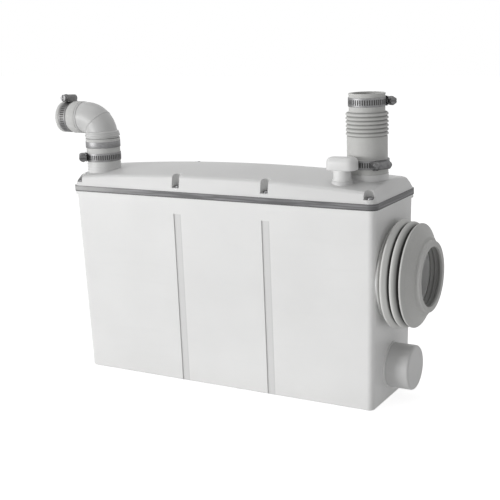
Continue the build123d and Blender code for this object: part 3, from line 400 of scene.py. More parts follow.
def cast_metal(name, colour, metallic, roughness):
    """Cast or painted metal with fine pits."""
    finish = Finish(name, roughness=roughness, metallic=metallic)
    cloud = finish.noise(34.0, 4.0)
    pits = finish.cells(520.0)
    shade = finish.blended(finish.span(cloud, 0.3, 0.7), tone(colour, 0.84), tone(colour, 1.12))
    finish.colour(shade)
    finish.roughness(roughness + finish.span(cloud, 0.3, 0.7) * 0.14)
    finish.relief(finish.span(pits, 0.0, 0.5) + finish.noise(700.0, 2.0), 0.00014, 0.4)
    return finish.material


def wound_wire(name, colour):
    """Varnished copper wire, wound in turns 0.9 mm apart, with painted shade between the turns and
    a painted highlight on their crests.
    """
    finish = Finish(name, roughness=0.3, coat=0.4, metallic=0.6)
    turn_shading = (finish.along(2) * (2 * pi / 0.0009)).sine() * 0.5 + 0.5
    # The colour follows the relief: painted shade in the valleys, a painted highlight on the
    # crests.
    finish.colour(finish.blended(turn_shading, tone(colour, 0.6), tone(colour, 1.15)))
    finish.roughness(0.26 + finish.noise(60.0, 3.0) * 0.15)
    finish.relief(turn_shading, 0.0002, 0.8)
    return finish.material


def open_foam(name, colour):
    """Coarse filter foam, with painted shade in its pores."""
    finish = Finish(name, roughness=0.95, specular=0.1)
    pores = finish.cells(900.0)
    # Painted shade: darkest at the middle of each pore, where the relief sinks.
    shade = finish.blended(finish.span(pores, 0.0, 0.5), tone(colour, 0.4), tone(colour, 1.5))
    finish.colour(shade)
    finish.relief(pores, 0.0006, 0.9)
    return finish.material


# Pieces
def new_outline(points):
    """Starts a bmesh from a closed outline of radii and heights in millimetres."""
    bm = bmesh.new()
    verts = [bm.verts.new((radius, 0.0, height)) for radius, height in points]
    for first, second in zip(verts, verts[1:] + verts[:1]):
        bm.edges.new((first, second))
    return bm


def rounded(bm, geom, size, segments, affect):
    bmesh.ops.bevel(
        bm, geom=geom, offset=size, offset_type="OFFSET", segments=segments, profile=0.5,
        affect=affect, material=-1, clamp_overlap=True)


def closed_up(bm):
    """Merges a bmesh's seams and turns its faces outwards."""
    bmesh.ops.remove_doubles(bm, verts=bm.verts[:], dist=MERGE_GAP)
    bmesh.ops.recalc_face_normals(bm, faces=bm.faces[:])


def spun(bm, steps):
    """Spins an outline fully round Z."""
    bmesh.ops.spin(
        bm, geom=bm.verts[:] + bm.edges[:], cent=(0, 0, 0), axis=(0, 0, 1), angle=2 * pi,
        steps=steps, use_merge=True, use_duplicate=False)
    closed_up(bm)
    return bm


def turned(points, size=0.0, steps=96, segments=3):
    """Turns a piece from an outline, with its corners rounded by a size."""
    bm = new_outline(points)
    if size:
        rounded(bm, bm.verts[:], size, segments, "VERTICES")
    return spun(bm, steps)


def swept(points, start, angle, steps):
    """Sweeps a filled outline round Z through part of a turn."""
    bm = new_outline(points)
    turn = Matrix.Rotation(start, 3, "Z")
    bmesh.ops.rotate(bm, cent=(0, 0, 0), matrix=turn, verts=bm.verts[:])
    bmesh.ops.edgenet_fill(bm, edges=bm.edges[:])
    bmesh.ops.spin(
        bm, geom=bm.faces[:], cent=(0, 0, 0), axis=(0, 0, 1), angle=angle, steps=steps,
        use_merge=False, use_duplicate=False)
    return bm


def verts_in(geom):
    return [part for part in geom if isinstance(part, bmesh.types.BMVert)]


def edges_in(geom):
    return [part for part in geom if isinstance(part, bmesh.types.BMEdge)]


def joined(parts):
    """Puts several bmeshes into one and frees them."""
    whole = bmesh.new()
    for part in parts:
        mesh = bpy.data.meshes.new("part")
        part.to_mesh(mesh)
        part.free()
        whole.from_mesh(mesh)
        bpy.data.meshes.remove(mesh)
    return whole


def settle(bm, name, body, finish, nodes, place, edge=0.0, angle=32.0):
    """Puts a bmesh in millimetres at its place as a finished piece in metres."""
    bmesh.ops.transform(bm, matrix=place, verts=bm.verts[:])
    bmesh.ops.scale(bm, vec=(MM, MM, MM), verts=bm.verts[:])
    mesh = bpy.data.meshes.new(name)
    bm.to_mesh(mesh)
    bm.free()
    for polygon in mesh.polygons:
        polygon.use_smooth = True
    mesh.set_sharp_from_angle(angle=radians(angle))
    mesh.materials.append(finish)
    piece = bpy.data.objects.new(name, mesh)
    bpy.context.scene.collection.objects.link(piece)
    if edge:
        bevel = piece.modifiers.new("Edges", "BEVEL")
        bevel.width = edge * MM
        bevel.segments = 2
        bevel.limit_method = "ANGLE"
        bevel.angle_limit = radians(angle)
        bevel.harden_normals = True
    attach(piece, body)
    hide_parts(*nodes)
    return piece


def dress(node, finish):
    """Gives a CAD node its finish."""
    piece = frame["nodes"][node]
    piece.data.materials.clear()
    piece.data.materials.append(finish)


def upright(x, y, z=0.0):
    return Matrix.Translation((x, y, z))


def lying(x, y, z):
    """Turns a piece's axis from up to +X."""
    return Matrix.Translation((x, y, z)) @ Matrix.Rotation(radians(90), 4, "Y")


def lying_left(x, y, z):
    """Turns a piece's axis from up to -X."""
    return Matrix.Translation((x, y, z)) @ Matrix.Rotation(radians(-90), 4, "Y")


# Settings
class PumpShellSettings(bpy.types.PropertyGroup):
    colour: FloatVectorProperty(
        name="Shell colour", description="Colour of the tank, lid and caps",
        subtype="COLOR", size=3, min=0.0, max=1.0, default=(0.82, 0.82, 0.815))
    grain: FloatProperty(
        name="Mould grain", description="Depth of the moulded grain", default=1.0, min=0.0, max=4.0)


class PumpRubberSettings(bpy.types.PropertyGroup):
    grey: FloatVectorProperty(
        name="Grey rubber", description="Colour of the pan connector and the ribbed sleeve",
        subtype="COLOR", size=3, min=0.0, max=1.0, default=(0.60, 0.60, 0.585))
    pale: FloatVectorProperty(
        name="Pale rubber", description="Colour of the discharge coupling and cuff",
        subtype="COLOR", size=3, min=0.0, max=1.0, default=(0.62, 0.62, 0.61))
    seal: FloatVectorProperty(
        name="Gasket", description="Colour of the gasket under the lid", subtype="COLOR", size=3,
        min=0.0, max=1.0, default=(0.13, 0.13, 0.135))
    bloom: FloatProperty(
        name="Bloom", description="Share of pale bloom on the rubber", subtype="FACTOR",
        default=0.3, min=0.0, max=1.0)


class PumpFittingSettings(bpy.types.PropertyGroup):
    elbow: FloatVectorProperty(
        name="Elbow colour", description="Colour of the discharge elbow", subtype="COLOR", size=3,
        min=0.0, max=1.0, default=(0.60, 0.60, 0.595))
    steel: FloatVectorProperty(
        name="Steel", description="Colour of the clamps and bands", subtype="COLOR", size=3,
        min=0.0, max=1.0, default=(0.29, 0.29, 0.294))


class PumpStageSettings(bpy.types.PropertyGroup):
    key: FloatProperty(
        name="Key light", description="Power of the main lamp", subtype="POWER", default=270.0,
        min=0.0)
    fill: FloatProperty(
        name="World", description="Level of the surrounding light", default=0.42, min=0.0)
    floor: FloatProperty(
        name="Floor", description="Own light of the floor as the camera sees it", default=0.72,
        min=0.0)


# Stage
class PUMP_OT_stage(bpy.types.Operator):
    """Makes the pale floor, the soft lamps and the camera"""

    bl_idname = "pump.stage"
    bl_label = "Stage"

    def execute(self, context):
        settings = context.scene.pump_stage
        self.make_floor(settings.floor)
        self.make_world(context.scene, settings.fill)
        self.make_lamp("Key", KEY_PLACE, KEY_SIZE, settings.key)
        self.make_lamp("Top", TOP_PLACE, TOP_SIZE, settings.key * TOP_SHARE)
        self.make_camera(context.scene)
        context.scene.view_settings.view_transform = "Standard"
        return {"FINISHED"}

    def make_floor(self, level):
        bm = bmesh.new()
        bmesh.ops.create_grid(bm, x_segments=2, y_segments=2, size=6.0)
        mesh = bpy.data.meshes.new("Floor")
        bm.to_mesh(mesh)
        bm.free()
        floor = bpy.data.objects.new("Floor", mesh)
        bpy.context.scene.collection.objects.link(floor)
        finish = Finish("pale_floor", roughness=0.9, specular=0.1)
        finish.colour((0.80, 0.80, 0.80))
        seen, shine = finish.rays("Camera"), finish.rays("Glossy")
        strength = (seen * 0.82 + shine * 0.42 + 0.18) * level
        glow = finish.node("ShaderNodeEmission", None, {"Strength": strength})
        both = finish.node("ShaderNodeAddShader", None, {0: finish.surface, 1: glow})
        finish.feed(finish.output.inputs[0], both)
        mesh.materials.append(finish.material)

    def make_world(self, scene, level):
        """Lights the object at a level, and shows white to the camera and in reflections."""
        world = bpy.data.worlds.new("Studio")
        world.use_nodes = True
        nodes = Nodes(world.node_tree)
        way = nodes.node("ShaderNodeTexCoord", None, None, "Generated")
        side = nodes.node("ShaderNodeSeparateXYZ", None, {0: way}, "X")
        strength = nodes.span(side, -1.0, 1.0, level * WORLD_LEFT, level * WORLD_RIGHT)
        soft = nodes.node("ShaderNodeBackground", None, {"Strength": strength})
        white = nodes.node("ShaderNodeBackground", None, {"Color": (1.0, 1.0, 1.0)})
        shown = nodes.rays("Camera") + nodes.rays("Glossy") + nodes.rays("Transmission")
        mixed = nodes.node("ShaderNodeMixShader", None, {0: shown, 1: soft, 2: white})
        nodes.add("ShaderNodeOutputWorld", None, {0: mixed})
        scene.world = world

    def make_lamp(self, name, spot, size, power):
        light = bpy.data.lights.new(name, "AREA")
        light.shape = "RECTANGLE"
        light.size, light.size_y = size
        light.energy = power
        lamp = bpy.data.objects.new(name, light)
        lamp.location = spot
        aim = Vector((0.0, 0.0, 0.2)) - Vector(spot)
        lamp.rotation_euler = aim.to_track_quat("-Z", "Y").to_euler()
        bpy.context.scene.collection.objects.link(lamp)

    def make_camera(self, scene):
        yaw, pitch, roll = CAMERA_YAW, CAMERA_PITCH, CAMERA_ROLL
        forward = Vector((-sin(yaw) * cos(pitch), cos(yaw) * cos(pitch), -sin(pitch)))
        right = Vector((cos(yaw), sin(yaw), 0.0))
        down = forward.cross(right)
        across = right * cos(roll) + down * sin(roll)
        below = down * cos(roll) - right * sin(roll)
        data = bpy.data.cameras.new("Camera")
        data.sensor_width = SENSOR_WIDTH
        data.lens = SENSOR_WIDTH * FOCAL_PIXELS / PICTURE_PIXELS
        data.clip_end = 50.0
        camera = bpy.data.objects.new("Camera", data)
        turn = Matrix((across, -below, -forward)).transposed()
        camera.matrix_world = Matrix.Translation(CAMERA_PLACE) @ turn.to_4x4()
        scene.collection.objects.link(camera)
        scene.camera = camera


# Tank, lid and caps
class PUMP_OT_shell(bpy.types.Operator):
    """Finishes the tank, lid, gasket, lid screws and spare cap, and makes the vent cap"""

    bl_idname = "pump.shell"
    bl_label = "Tank and lid"

    def execute(self, context):
        shell = context.scene.pump_shell
        rubber = context.scene.pump_rubber
        colour, grain = tuple(shell.colour), shell.grain
        grooves = (GROOVE_PLACES, GROOVE_HALF, TANK_TOP - GROOVE_DROP, GROOVE_FRONT)
        # Painted shade: the lid gets a darker copy of the shell colour, to hold back the extra
        # light on its up-tilted front.
        dress("lid", moulded_shell("shaded_lid_shell", tone(colour, 0.86), grain))
        dress("vent_stem", moulded_shell("white_shell", colour, grain))
        dress("tank", moulded_shell("tank_shell", colour, grain, grooves))
        dress("gasket", pressed_seal("gasket_rubber", tuple(rubber.seal)))
        dress("lid_screws", strip_steel("zinc_screws", (0.28, 0.28, 0.285), (1, 1, 1), 0.30))
        dress("spare_cap", moulded_shell("cap_plastic", tone(colour, 0.80), grain))
        self.make_vent_cap(moulded_shell("vent_plastic", tone(colour, 0.97), grain))
        dress("vent_filter", open_foam("charcoal_foam", (0.06, 0.06, 0.06)))
        return {"FINISHED"}

    def make_vent_cap(self, finish):
        low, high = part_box("vent_cap")
        size = (high - low) / MM
        cap = bmesh.new()
        bmesh.ops.create_cube(cap, size=1.0)
        bmesh.ops.scale(cap, vec=size, verts=cap.verts[:])
        corners = [
            edge for edge in cap.edges if abs((edge.verts[0].co - edge.verts[1].co).z) > 1.0]
        rounded(cap, corners, 10.5, 10, "EDGES")
        for side, radius, segments in ((1, 6.8, 7), (-1, 1.6, 3)):
            flat = [face for face in cap.faces if face.normal.z * side > 0.9]
            rounded(cap, flat[0].edges[:], radius, segments, "EDGES")
        under = min(cap.faces, key=lambda face: face.calc_center_median().z)
        bmesh.ops.inset_region(cap, faces=[under], thickness=1.2, depth=0.0)
        grown = bmesh.ops.extrude_discrete_faces(cap, faces=[under])["faces"]
        bmesh.ops.translate(cap, verts=grown[0].verts[:], vec=(0, 0, size.z * 0.66))
        bmesh.ops.recalc_face_normals(cap, faces=cap.faces[:])
        centre = (low + high) / 2 / MM
        place = upright(centre.x, centre.y, centre.z)
        settle(
            cap, "vent_cap_moulding", "vent_cap_body", finish, ["vent_cap"], place,
            angle=50.0)


# Pan connector
class PUMP_OT_pan_connector(bpy.types.Operator):
    """Turns the finned rubber pan connector with its conical face, lip and inner folds"""

    bl_idname = "pump.pan_connector"
    bl_label = "Pan connector"

    def execute(self, context):
        rubber = context.scene.pump_rubber
        centre = (PAN_LOW + PAN_HIGH) / 2
        centre.y = 0.0
        tip = (PAN_HIGH.z - PAN_LOW.z) / 2
        # Painted shade in the gaps between the fins and in the bore, and a painted highlight on the
        # fin tips.
        fin_gap_shade = (0, centre, PAN_LOW.x + 0.0105, PAN_LOW.x + 0.0335, tip - 0.0078, tip - 0.0044)
        bore_shade = (0, centre, PAN_LOW.x + 0.0325, PAN_HIGH.x - 0.0035, 0.0458, 0.0462)
        fin_tip_highlight = (0, centre, PAN_LOW.x, PAN_LOW.x + 0.0362, tip - 0.0030, tip - 0.0046)
        folds = [(0.22, fin_gap_shade), (1.28, fin_tip_highlight), (0.72, bore_shade)]
        finish = soft_rubber("grey_rubber", tone(tuple(rubber.grey), 0.93), rubber.bloom, folds)
        place = lying(PAN_LOW.x / MM, 0.0, centre.z / MM)
        body = self.make_body((PAN_HIGH.x - PAN_LOW.x) / MM, tip / MM)
        settle(
            body, "pan_connector_rubber", "base", finish, ["pan_connector"], place,
            angle=50.0)
        return {"FINISHED"}

    def make_body(self, length, reach):
        outline = [(44.1, 0.0), (67.0, 0.0), (67.0, 2.2), (60.5, 4.6)]
        radii = (reach, reach - 2.5, reach - 4.0)
        for index, radius in enumerate(radii):
            fin = FIN_START + FIN_PITCH * index
            outline += [
                (57.2, fin - 2.4), (radius - 1.4, fin - 1.3), (radius, fin - 0.6),
                (radius, fin + 1.8)]
            if radius != radii[-1]:
                outline += [(radius - 4.6, fin + 7.2), (57.4, fin + 7.9)]
        outline += [
            (64.5, length - 14.6), (53.5, length - 6.6), (48.8, length - 5.6), (48.8, length),
            (41.1, length), (41.1, length - 4.6), (45.6, length - 6.6), (45.8, length - 9.2),
            (42.4, length - 11.0), (45.9, length - 14.4), (43.2, length - 17.6),
            (44.6, length - 19.6)]
        return turned(outline, 0.75, 128)


# Waste inlet sleeve
class PUMP_OT_inlet_sleeve(bpy.types.Operator):
    """Turns the ribbed waste inlet sleeve"""

    bl_idname = "pump.inlet_sleeve"
    bl_label = "Waste inlet sleeve"

    def execute(self, context):
        rubber = context.scene.pump_rubber
        centre = (SLEEVE_LOW + SLEEVE_HIGH) / 2
        top = SLEEVE_HIGH.z - RIB_DROP * MM
        # Painted shade in the bottoms of the grooves between the ribs.
        rib_groove_shade = (2, centre, top - RIB_SPAN * MM, top, 0.0266, 0.0284)
        finish = soft_rubber("sleeve_rubber", tuple(rubber.grey), rubber.bloom, [(0.45, rib_groove_shade)])
        body = self.make_body(SLEEVE_LOW.z / MM, SLEEVE_HIGH.z / MM)
        spot = centre / MM
        place = upright(spot.x, spot.y)
        settle(
            body, "inlet_sleeve_rubber", "base", finish, ["inlet_sleeve"], place,
            angle=50.0)
        return {"FINISHED"}

    def make_body(self, low, high):
        outline = [(22.1, low), (28.4, low), (28.5, low + 19.6), (27.7, low + 20.6)]
        rib_top = high - RIB_DROP
        pitch = RIB_SPAN / RIB_COUNT
        outline.append((27.7, rib_top - RIB_COUNT * pitch - 1.2))
        for index in range(RIB_COUNT):
            rib = rib_top - (RIB_COUNT - index) * pitch
            outline += [(26.5, rib + 0.1), (28.95, rib + 1.5), (28.95, rib + 3.3)]
        outline += [
            (26.5, rib_top), (24.6, rib_top + 0.8), (24.6, high - 2.6), (25.1, high - 2.0),
            (25.1, high), (20.1, high), (20.1, rib_top), (21.6, rib_top - pitch),
            (21.6, low + 34.6), (22.1, low + 34.4)]
        return turned(outline, 0.55, 112)


# Discharge fittings
class PUMP_OT_discharge(bpy.types.Operator):
    """Makes the discharge coupling, its plain band, the mitred elbow and the end cuff"""

    bl_idname = "pump.discharge"
    bl_label = "Discharge fittings"

    def execute(self, context):
        rubber = context.scene.pump_rubber
        fitting = context.scene.pump_fitting
        pale = soft_rubber("pale_rubber", tuple(rubber.pale), rubber.bloom)
        white = moulded_shell("elbow_plastic", tuple(fitting.elbow), 1.0)
        steel = strip_steel("band_steel", tuple(fitting.steel), (1, 1, 8))
        centre = ELBOW_POS / MM
        place = upright(centre.x, centre.y)
        low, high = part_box("outlet_coupling")
        coupling = self.make_coupling(low.z / MM, high.z / MM)
        settle(
            coupling, "outlet_coupling_rubber", "base", pale, ["outlet_coupling"],
            place, angle=50.0)
        low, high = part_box("outlet_plain_band")
        foot, top = low.z / MM, high.z / MM
        band = turned(((25.5, foot), (26.3, foot), (26.3, top), (25.5, top)), 0.25, segments=2)
        settle(
            band, "outlet_plain_band_steel", "base", steel, ["outlet_plain_band"], place)
        cuff_low, cuff_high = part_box("outlet_cuff")
        axis_height = (cuff_low.z + cuff_high.z) / 2 / MM
        elbow = self.make_elbow(axis_height)
        settle(
            elbow, "outlet_elbow_moulding", "elbow", white, ["outlet_elbow"],
            place, angle=40.0)
        cuff = self.make_cuff(centre.x - cuff_high.x / MM, centre.x - cuff_low.x / MM)
        place = lying_left(centre.x, centre.y, axis_height)
        settle(
            cuff, "outlet_cuff_rubber", "elbow", pale, ["outlet_cuff"], place,
            angle=50.0)
        return {"FINISHED"}

    def make_coupling(self, low, high):
        outline = (
            (23.25, low), (25.3, low), (25.3, high - 5.2), (26.1, high - 4.4), (26.1, high - 2.6),
            (25.6, high - 2.2), (26.1, high - 1.6), (26.1, high), (23.25, high))
        return turned(outline, 0.35)

    def grow(self, shell, edges):
        """Extrudes a shell's open end, and gives the vertices and edges of the new one."""
        grown = bmesh.ops.extrude_edge_only(shell, edges=edges)["geom"]
        return verts_in(grown), edges_in(grown)

    def make_elbow(self, axis_height):
        """Makes the elbow's shell from foot to stub, then its collar, neck, seam and rim."""
        foot = ELBOW_POS.z / MM
        top = axis_height - ELBOW_BEND
        shell = bmesh.new()
        ring = bmesh.ops.create_circle(
            shell, segments=72, radius=ELBOW_RADIUS, cap_ends=False)["verts"]
        bmesh.ops.translate(shell, verts=ring, vec=(0, 0, foot))
        ring, edges = self.grow(shell, shell.edges[:])
        bmesh.ops.translate(shell, verts=ring, vec=(0, 0, top - foot))
        bent = bmesh.ops.spin(
            shell, geom=ring + edges, cent=(-ELBOW_BEND, 0, top), axis=(0, -1, 0), angle=pi / 2,
            steps=28, use_merge=False, use_duplicate=False)["geom_last"]
        ring, edges = self.grow(shell, edges_in(bent))
        bmesh.ops.translate(shell, verts=ring, vec=(-ELBOW_REACH, 0, 0))
        ring, edges = self.grow(shell, edges)
        share = STUB_RADIUS / ELBOW_RADIUS
        centre = Matrix.Translation((0, 0, -axis_height))
        bmesh.ops.scale(shell, vec=(1, share, share), space=centre, verts=ring)
        ring, edges = self.grow(shell, edges)
        bmesh.ops.translate(shell, verts=ring, vec=(-STUB_LENGTH, 0, 0))
        closed_up(shell)
        bmesh.ops.solidify(shell, geom=shell.faces[:], thickness=ELBOW_WALL)
        bmesh.ops.recalc_face_normals(shell, faces=shell.faces[:])
        collar = turned((
            (22.6, top - 0.9), (26.6, top - 0.9), (26.6, top + 1.0), (25.7, top + 1.4),
            (25.9, top + 3.9), (22.6, top + 4.4)), 0.4)
        neck = turned(
            ((22.6, top - 3.4), (24.9, top - 3.4), (24.9, top + 6.0), (22.6, top + 7.6)), 0.7)
        seam = turned(
            ((22.4, -1.1), (23.5, -0.75), (23.8, 0.0), (23.5, 0.75), (22.4, 1.1)), 0.2, segments=2)
        tilt = Matrix.Translation((-ELBOW_BEND, 0, top)) @ Matrix.Rotation(radians(-45), 4, "Y")
        tilt = tilt @ Matrix.Translation((ELBOW_BEND, 0, 0))
        bmesh.ops.transform(seam, matrix=tilt, verts=seam.verts[:])
        rim = turned(((22.4, 31.6), (24.0, 31.9), (24.2, 34.4), (22.4, 34.8)), 0.35)
        bmesh.ops.transform(rim, matrix=lying_left(0, 0, axis_height), verts=rim.verts[:])
        return joined([shell, collar, neck, seam, rim])

    def make_cuff(self, start, end):
        outline = (
            (18.7, start), (24.2, start), (24.2, start + 12.8), (23.4, start + 14.0),
            (22.4, start + 14.2), (22.4, end - 5.4), (23.2, end - 4.8), (23.2, end), (16.1, end),
            (16.1, end - 11.1), (18.7, end - 11.2))
        return turned(outline, 0.5)


# Hose clamps
class PUMP_OT_clamps(bpy.types.Operator):
    """Makes the four worm-drive hose clamps, each a slotted band, a housing and a worm screw"""

    bl_idname = "pump.clamps"
    bl_label = "Hose clamps"

    def execute(self, context):
        steel = tuple(context.scene.pump_fitting.steel)
        level = bpy.data.materials["band_steel"]
        upended = strip_steel("cuff_band_steel", steel, (8, 1, 1))
        bright = strip_steel("worm_steel", tone(steel, 0.70), (1, 1, 1), 0.48)
        dark = slot_shade("slot_shade")
        for name in ("inlet_upper", "inlet_lower", "outlet_lower", "outlet_end"):
            joint = joint_of("worm_" + name + "_turn")
            body = joint["parent"]
            place, radius, reach = self.place_of(name, joint)
            finish = upended if name == "outlet_end" else level
            node = "clamp_" + name
            band = self.make_band(radius)
            strip = settle(band, node + "_strip", body, finish, [node + "_band"], place)
            strip.data.materials.append(dark)
            housing = self.make_housing(radius, reach)
            settle(
                housing, node + "_bridge", body, bright, [node + "_housing"], place,
                edge=0.25)
            worm = self.make_worm(reach)
            settle(
                worm, node + "_screw", joint["child"], bright, [node + "_worm"], place,
                edge=0.2)
        return {"FINISHED"}

    def place_of(self, name, joint):
        """Gives a clamp's place, its band's radius and the distance of its worm, from the CAD."""
        low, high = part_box("clamp_" + name + "_band")
        centre = (low + high) / 2
        head = Vector(joint["axis"]).normalized()
        outward = Vector(joint["pos_m"]) - centre
        reach = outward.length
        across = outward.normalized()
        along = -head
        axis = across.cross(along)
        turn = Matrix((across, along, axis)).transposed().to_4x4()
        radius = (high - low).y / 2
        return Matrix.Translation(centre / MM) @ turn, radius / MM, reach / MM

    def make_band(self, outer):
        """Makes a band with slots whose floors get painted shade, a plain part under the worm, and
        its loose tail.
        """
        inner = outer - BAND_WALL
        outline = (
            (inner, -5.9), (outer - 0.15, -5.95), (outer, -5.4), (outer, -SLOT_HALF),
            (outer, SLOT_HALF), (outer, 5.4), (outer - 0.15, 5.95), (inner, 5.9))
        count = 2 * round(2 * pi * outer / SLOT_PITCH)
        step = 2 * pi / count
        band = spun(new_outline(outline), count)
        slots = []
        for face in band.faces:
            spot = face.calc_center_median()
            if abs(spot.z) < 1.0 and Vector(spot[:2]).length > outer - 0.2:
                place = atan2(spot.y, spot.x)
                if round(place / step - 0.5) % 2 == 0 and abs(place) > PLAIN_HALF / outer:
                    slots.append(face)
        bmesh.ops.inset_individual(
            band, faces=slots, thickness=0.06, depth=-SLOT_DEPTH, use_even_offset=True)
        # The slot floors take the second finish, painted shade.
        for face in slots:
            face.material_index = 1
        low, high = outer + 0.02, outer + 0.7
        tail = swept(
            ((low, -5.7), (high, -5.7), (high, 5.7), (low, 5.7)), TAIL_START / outer,
            radians(TAIL_ANGLE), 18)
        closed_up(tail)
        return joined([band, tail])

    def make_housing(self, outer, reach):
        """Makes the bridge over a worm, with its two feet, and the short tail under it."""
        top = reach + 5.5
        foot = outer + 0.1
        step, roof = foot + HOUSING_WALL, top - HOUSING_WALL
        corners = (
            (foot, -6.7), (step, -6.7), (step, -5.4), (top, -5.4), (top, 5.4), (step, 5.4),
            (step, 6.7), (foot, 6.7), (foot, 4.7), (roof, 4.7), (roof, -4.7), (foot, -4.7))
        bridge = new_outline(corners)
        bmesh.ops.translate(bridge, verts=bridge.verts[:], vec=(0, -HOUSING_HALF, 0))
        shoulders = [vert for vert in bridge.verts if vert.co.x > top - 1.0]
        rounded(bridge, shoulders, 4.2, 7, "VERTICES")
        bmesh.ops.edgenet_fill(bridge, edges=bridge.edges[:])
        grown = bmesh.ops.extrude_face_region(bridge, geom=bridge.faces[:])["geom"]
        bmesh.ops.translate(bridge, verts=verts_in(grown), vec=(0, 2 * HOUSING_HALF, 0))
        bmesh.ops.recalc_face_normals(bridge, faces=bridge.faces[:])
        low, high = foot + 0.9, foot + 1.7
        tail = swept(
            ((low, -4.4), (high, -4.4), (high, 4.4), (low, 4.4)), HOUSING_HALF / outer,
            radians(HOUSING_TAIL_ANGLE), 8)
        bmesh.ops.recalc_face_normals(tail, faces=tail.faces[:])
        return joined([bridge, tail])

    def make_worm(self, reach):
        """Makes a worm with its thread, flange, hexagon and slotted head, along its own axis."""
        start = HOUSING_HALF + 0.4
        core = turned(((0.0, WORM_START), (3.4, WORM_START), (3.4, start), (0.0, start)), steps=32)
        thread = new_outline(((3.2, 0.0), (4.2, 0.75), (4.2, 1.1), (3.2, 1.9)))
        bmesh.ops.translate(thread, verts=thread.verts[:], vec=(0, 0, -12.2))
        bmesh.ops.edgenet_fill(thread, edges=thread.edges[:])
        bmesh.ops.spin(
            thread, geom=thread.faces[:], cent=(0, 0, 0), axis=(0, 0, 1),
            dvec=(0, 0, THREAD_PITCH / THREAD_STEPS), angle=2 * pi * THREAD_TURNS,
            steps=THREAD_TURNS * THREAD_STEPS, use_merge=False, use_duplicate=False)
        bmesh.ops.recalc_face_normals(thread, faces=thread.faces[:])
        flange = turned((
            (0.0, start), (6.2, start), (6.2, start + 1.6), (5.3, start + 2.3),
            (0.0, start + 2.3)), steps=40)
        hexagon = bmesh.new()
        bmesh.ops.create_cone(
            hexagon, cap_ends=True, segments=6, radius1=6.1, radius2=6.1, depth=4.2)
        bmesh.ops.translate(hexagon, verts=hexagon.verts[:], vec=(0, 0, start + 4.3))
        parts = [core, thread, flange, hexagon]
        for side in (-1, 1):
            half = bmesh.new()
            bmesh.ops.create_cone(
                half, cap_ends=True, segments=36, radius1=5.2, radius2=4.6, depth=2.2)
            bmesh.ops.translate(half, verts=half.verts[:], vec=(0, 0, start + 7.4))
            cut = bmesh.ops.bisect_plane(
                half, geom=half.verts[:] + half.edges[:] + half.faces[:],
                plane_co=(0, side * SCREW_SLOT_HALF, 0), plane_no=(0, -side, 0),
                clear_outer=True)["geom_cut"]
            bmesh.ops.edgenet_fill(half, edges=edges_in(cut))
            bmesh.ops.recalc_face_normals(half, faces=half.faces[:])
            parts.append(half)
        worm = joined(parts)
        place = Matrix.Translation((reach, 0, 0)) @ Matrix.Rotation(radians(90), 4, "X")
        bmesh.ops.transform(worm, matrix=place, verts=worm.verts[:])
        return worm


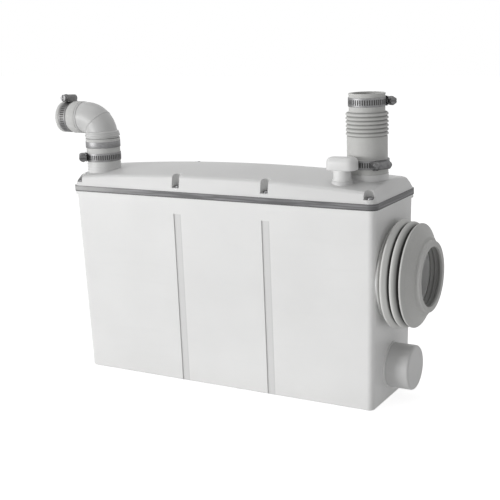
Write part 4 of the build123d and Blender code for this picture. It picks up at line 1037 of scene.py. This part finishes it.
# Pieces inside the tank and on its back
class PUMP_OT_inside(bpy.types.Operator):
    """Finishes the pieces inside the tank and the cord gland on the back"""

    bl_idname = "pump.inside"
    bl_label = "Inside pieces"

    def execute(self, context):
        black = moulded_shell("black_plastic", (0.045, 0.045, 0.05), 1.4)
        grey = moulded_shell("grey_plastic", (0.50, 0.51, 0.50), 1.2)
        milk = moulded_shell("milk_plastic", (0.74, 0.74, 0.71), 0.8)
        enamel = cast_metal("motor_enamel", (0.10, 0.11, 0.12), 0.2, 0.32)
        alloy = cast_metal("cast_alloy", (0.62, 0.62, 0.63), 1.0, 0.36)
        core = cast_metal("core_plates", (0.26, 0.26, 0.27), 0.9, 0.4)
        bright = strip_steel("ground_steel", (0.66, 0.66, 0.67), (1, 1, 6), 0.2)
        copper = wound_wire("copper_wire", (0.62, 0.28, 0.12))
        flap = dark_seal("flap_rubber", (0.09, 0.09, 0.095))
        finishes = {
            black: (
                "gland_body", "gland_nut", "gland_locknut", "pump_body", "pump_cover",
                "pump_impeller", "switch_body"),
            grey: ("cutter_basket", "inlet_chute", "riser_pipe", "valve_body"),
            milk: (
                "pressure_bell", "pressure_seat", "pressure_plunger", "switch_button",
                "control_box", "control_cover", "capacitor", "terminal_block"),
            enamel: ("motor_housing",),
            alloy: ("motor_cap", "motor_rotor"),
            core: ("motor_stator",),
            bright: ("motor_shaft", "motor_bearings", "cutter_blade"),
            copper: ("motor_windings",),
            flap: ("valve_flap", "inlet_flap", "motor_shaft_seal", "pressure_diaphragm"),
        }
        for finish, nodes in finishes.items():
            for node in nodes:
                dress(node, finish)
        return {"FINISHED"}


class PUMP_PT_panel(bpy.types.Panel):
    """Lists the steps that build the pump's looks"""

    bl_idname = "PUMP_PT_panel"
    bl_label = "Macerator pump"
    bl_space_type = "VIEW_3D"
    bl_region_type = "UI"
    bl_category = "Pump"

    def draw(self, context):
        for settings in ("pump_shell", "pump_rubber", "pump_fitting", "pump_stage"):
            group = getattr(context.scene, settings)
            box = self.layout.box()
            for key in group.bl_rna.properties.keys():
                if key not in ("rna_type", "name"):
                    box.prop(group, key)
        for operator in OPERATORS:
            self.layout.operator(operator.bl_idname)


SETTINGS = {
    "pump_shell": PumpShellSettings,
    "pump_rubber": PumpRubberSettings,
    "pump_fitting": PumpFittingSettings,
    "pump_stage": PumpStageSettings,
}
OPERATORS = (
    PUMP_OT_stage, PUMP_OT_shell, PUMP_OT_pan_connector, PUMP_OT_inlet_sleeve, PUMP_OT_discharge,
    PUMP_OT_clamps, PUMP_OT_inside,
)


def register():
    for name, group in SETTINGS.items():
        bpy.utils.register_class(group)
        setattr(bpy.types.Scene, name, PointerProperty(type=group))
    for operator in OPERATORS:
        bpy.utils.register_class(operator)
    bpy.utils.register_class(PUMP_PT_panel)


def unregister():
    bpy.utils.unregister_class(PUMP_PT_panel)
    for operator in reversed(OPERATORS):
        bpy.utils.unregister_class(operator)
    for name, group in SETTINGS.items():
        delattr(bpy.types.Scene, name)
        bpy.utils.unregister_class(group)


def main():
    register()
    for operator in OPERATORS:
        area, action = operator.bl_idname.split(".")
        getattr(getattr(bpy.ops, area), action)()


if __name__ == "__main__":
    main()
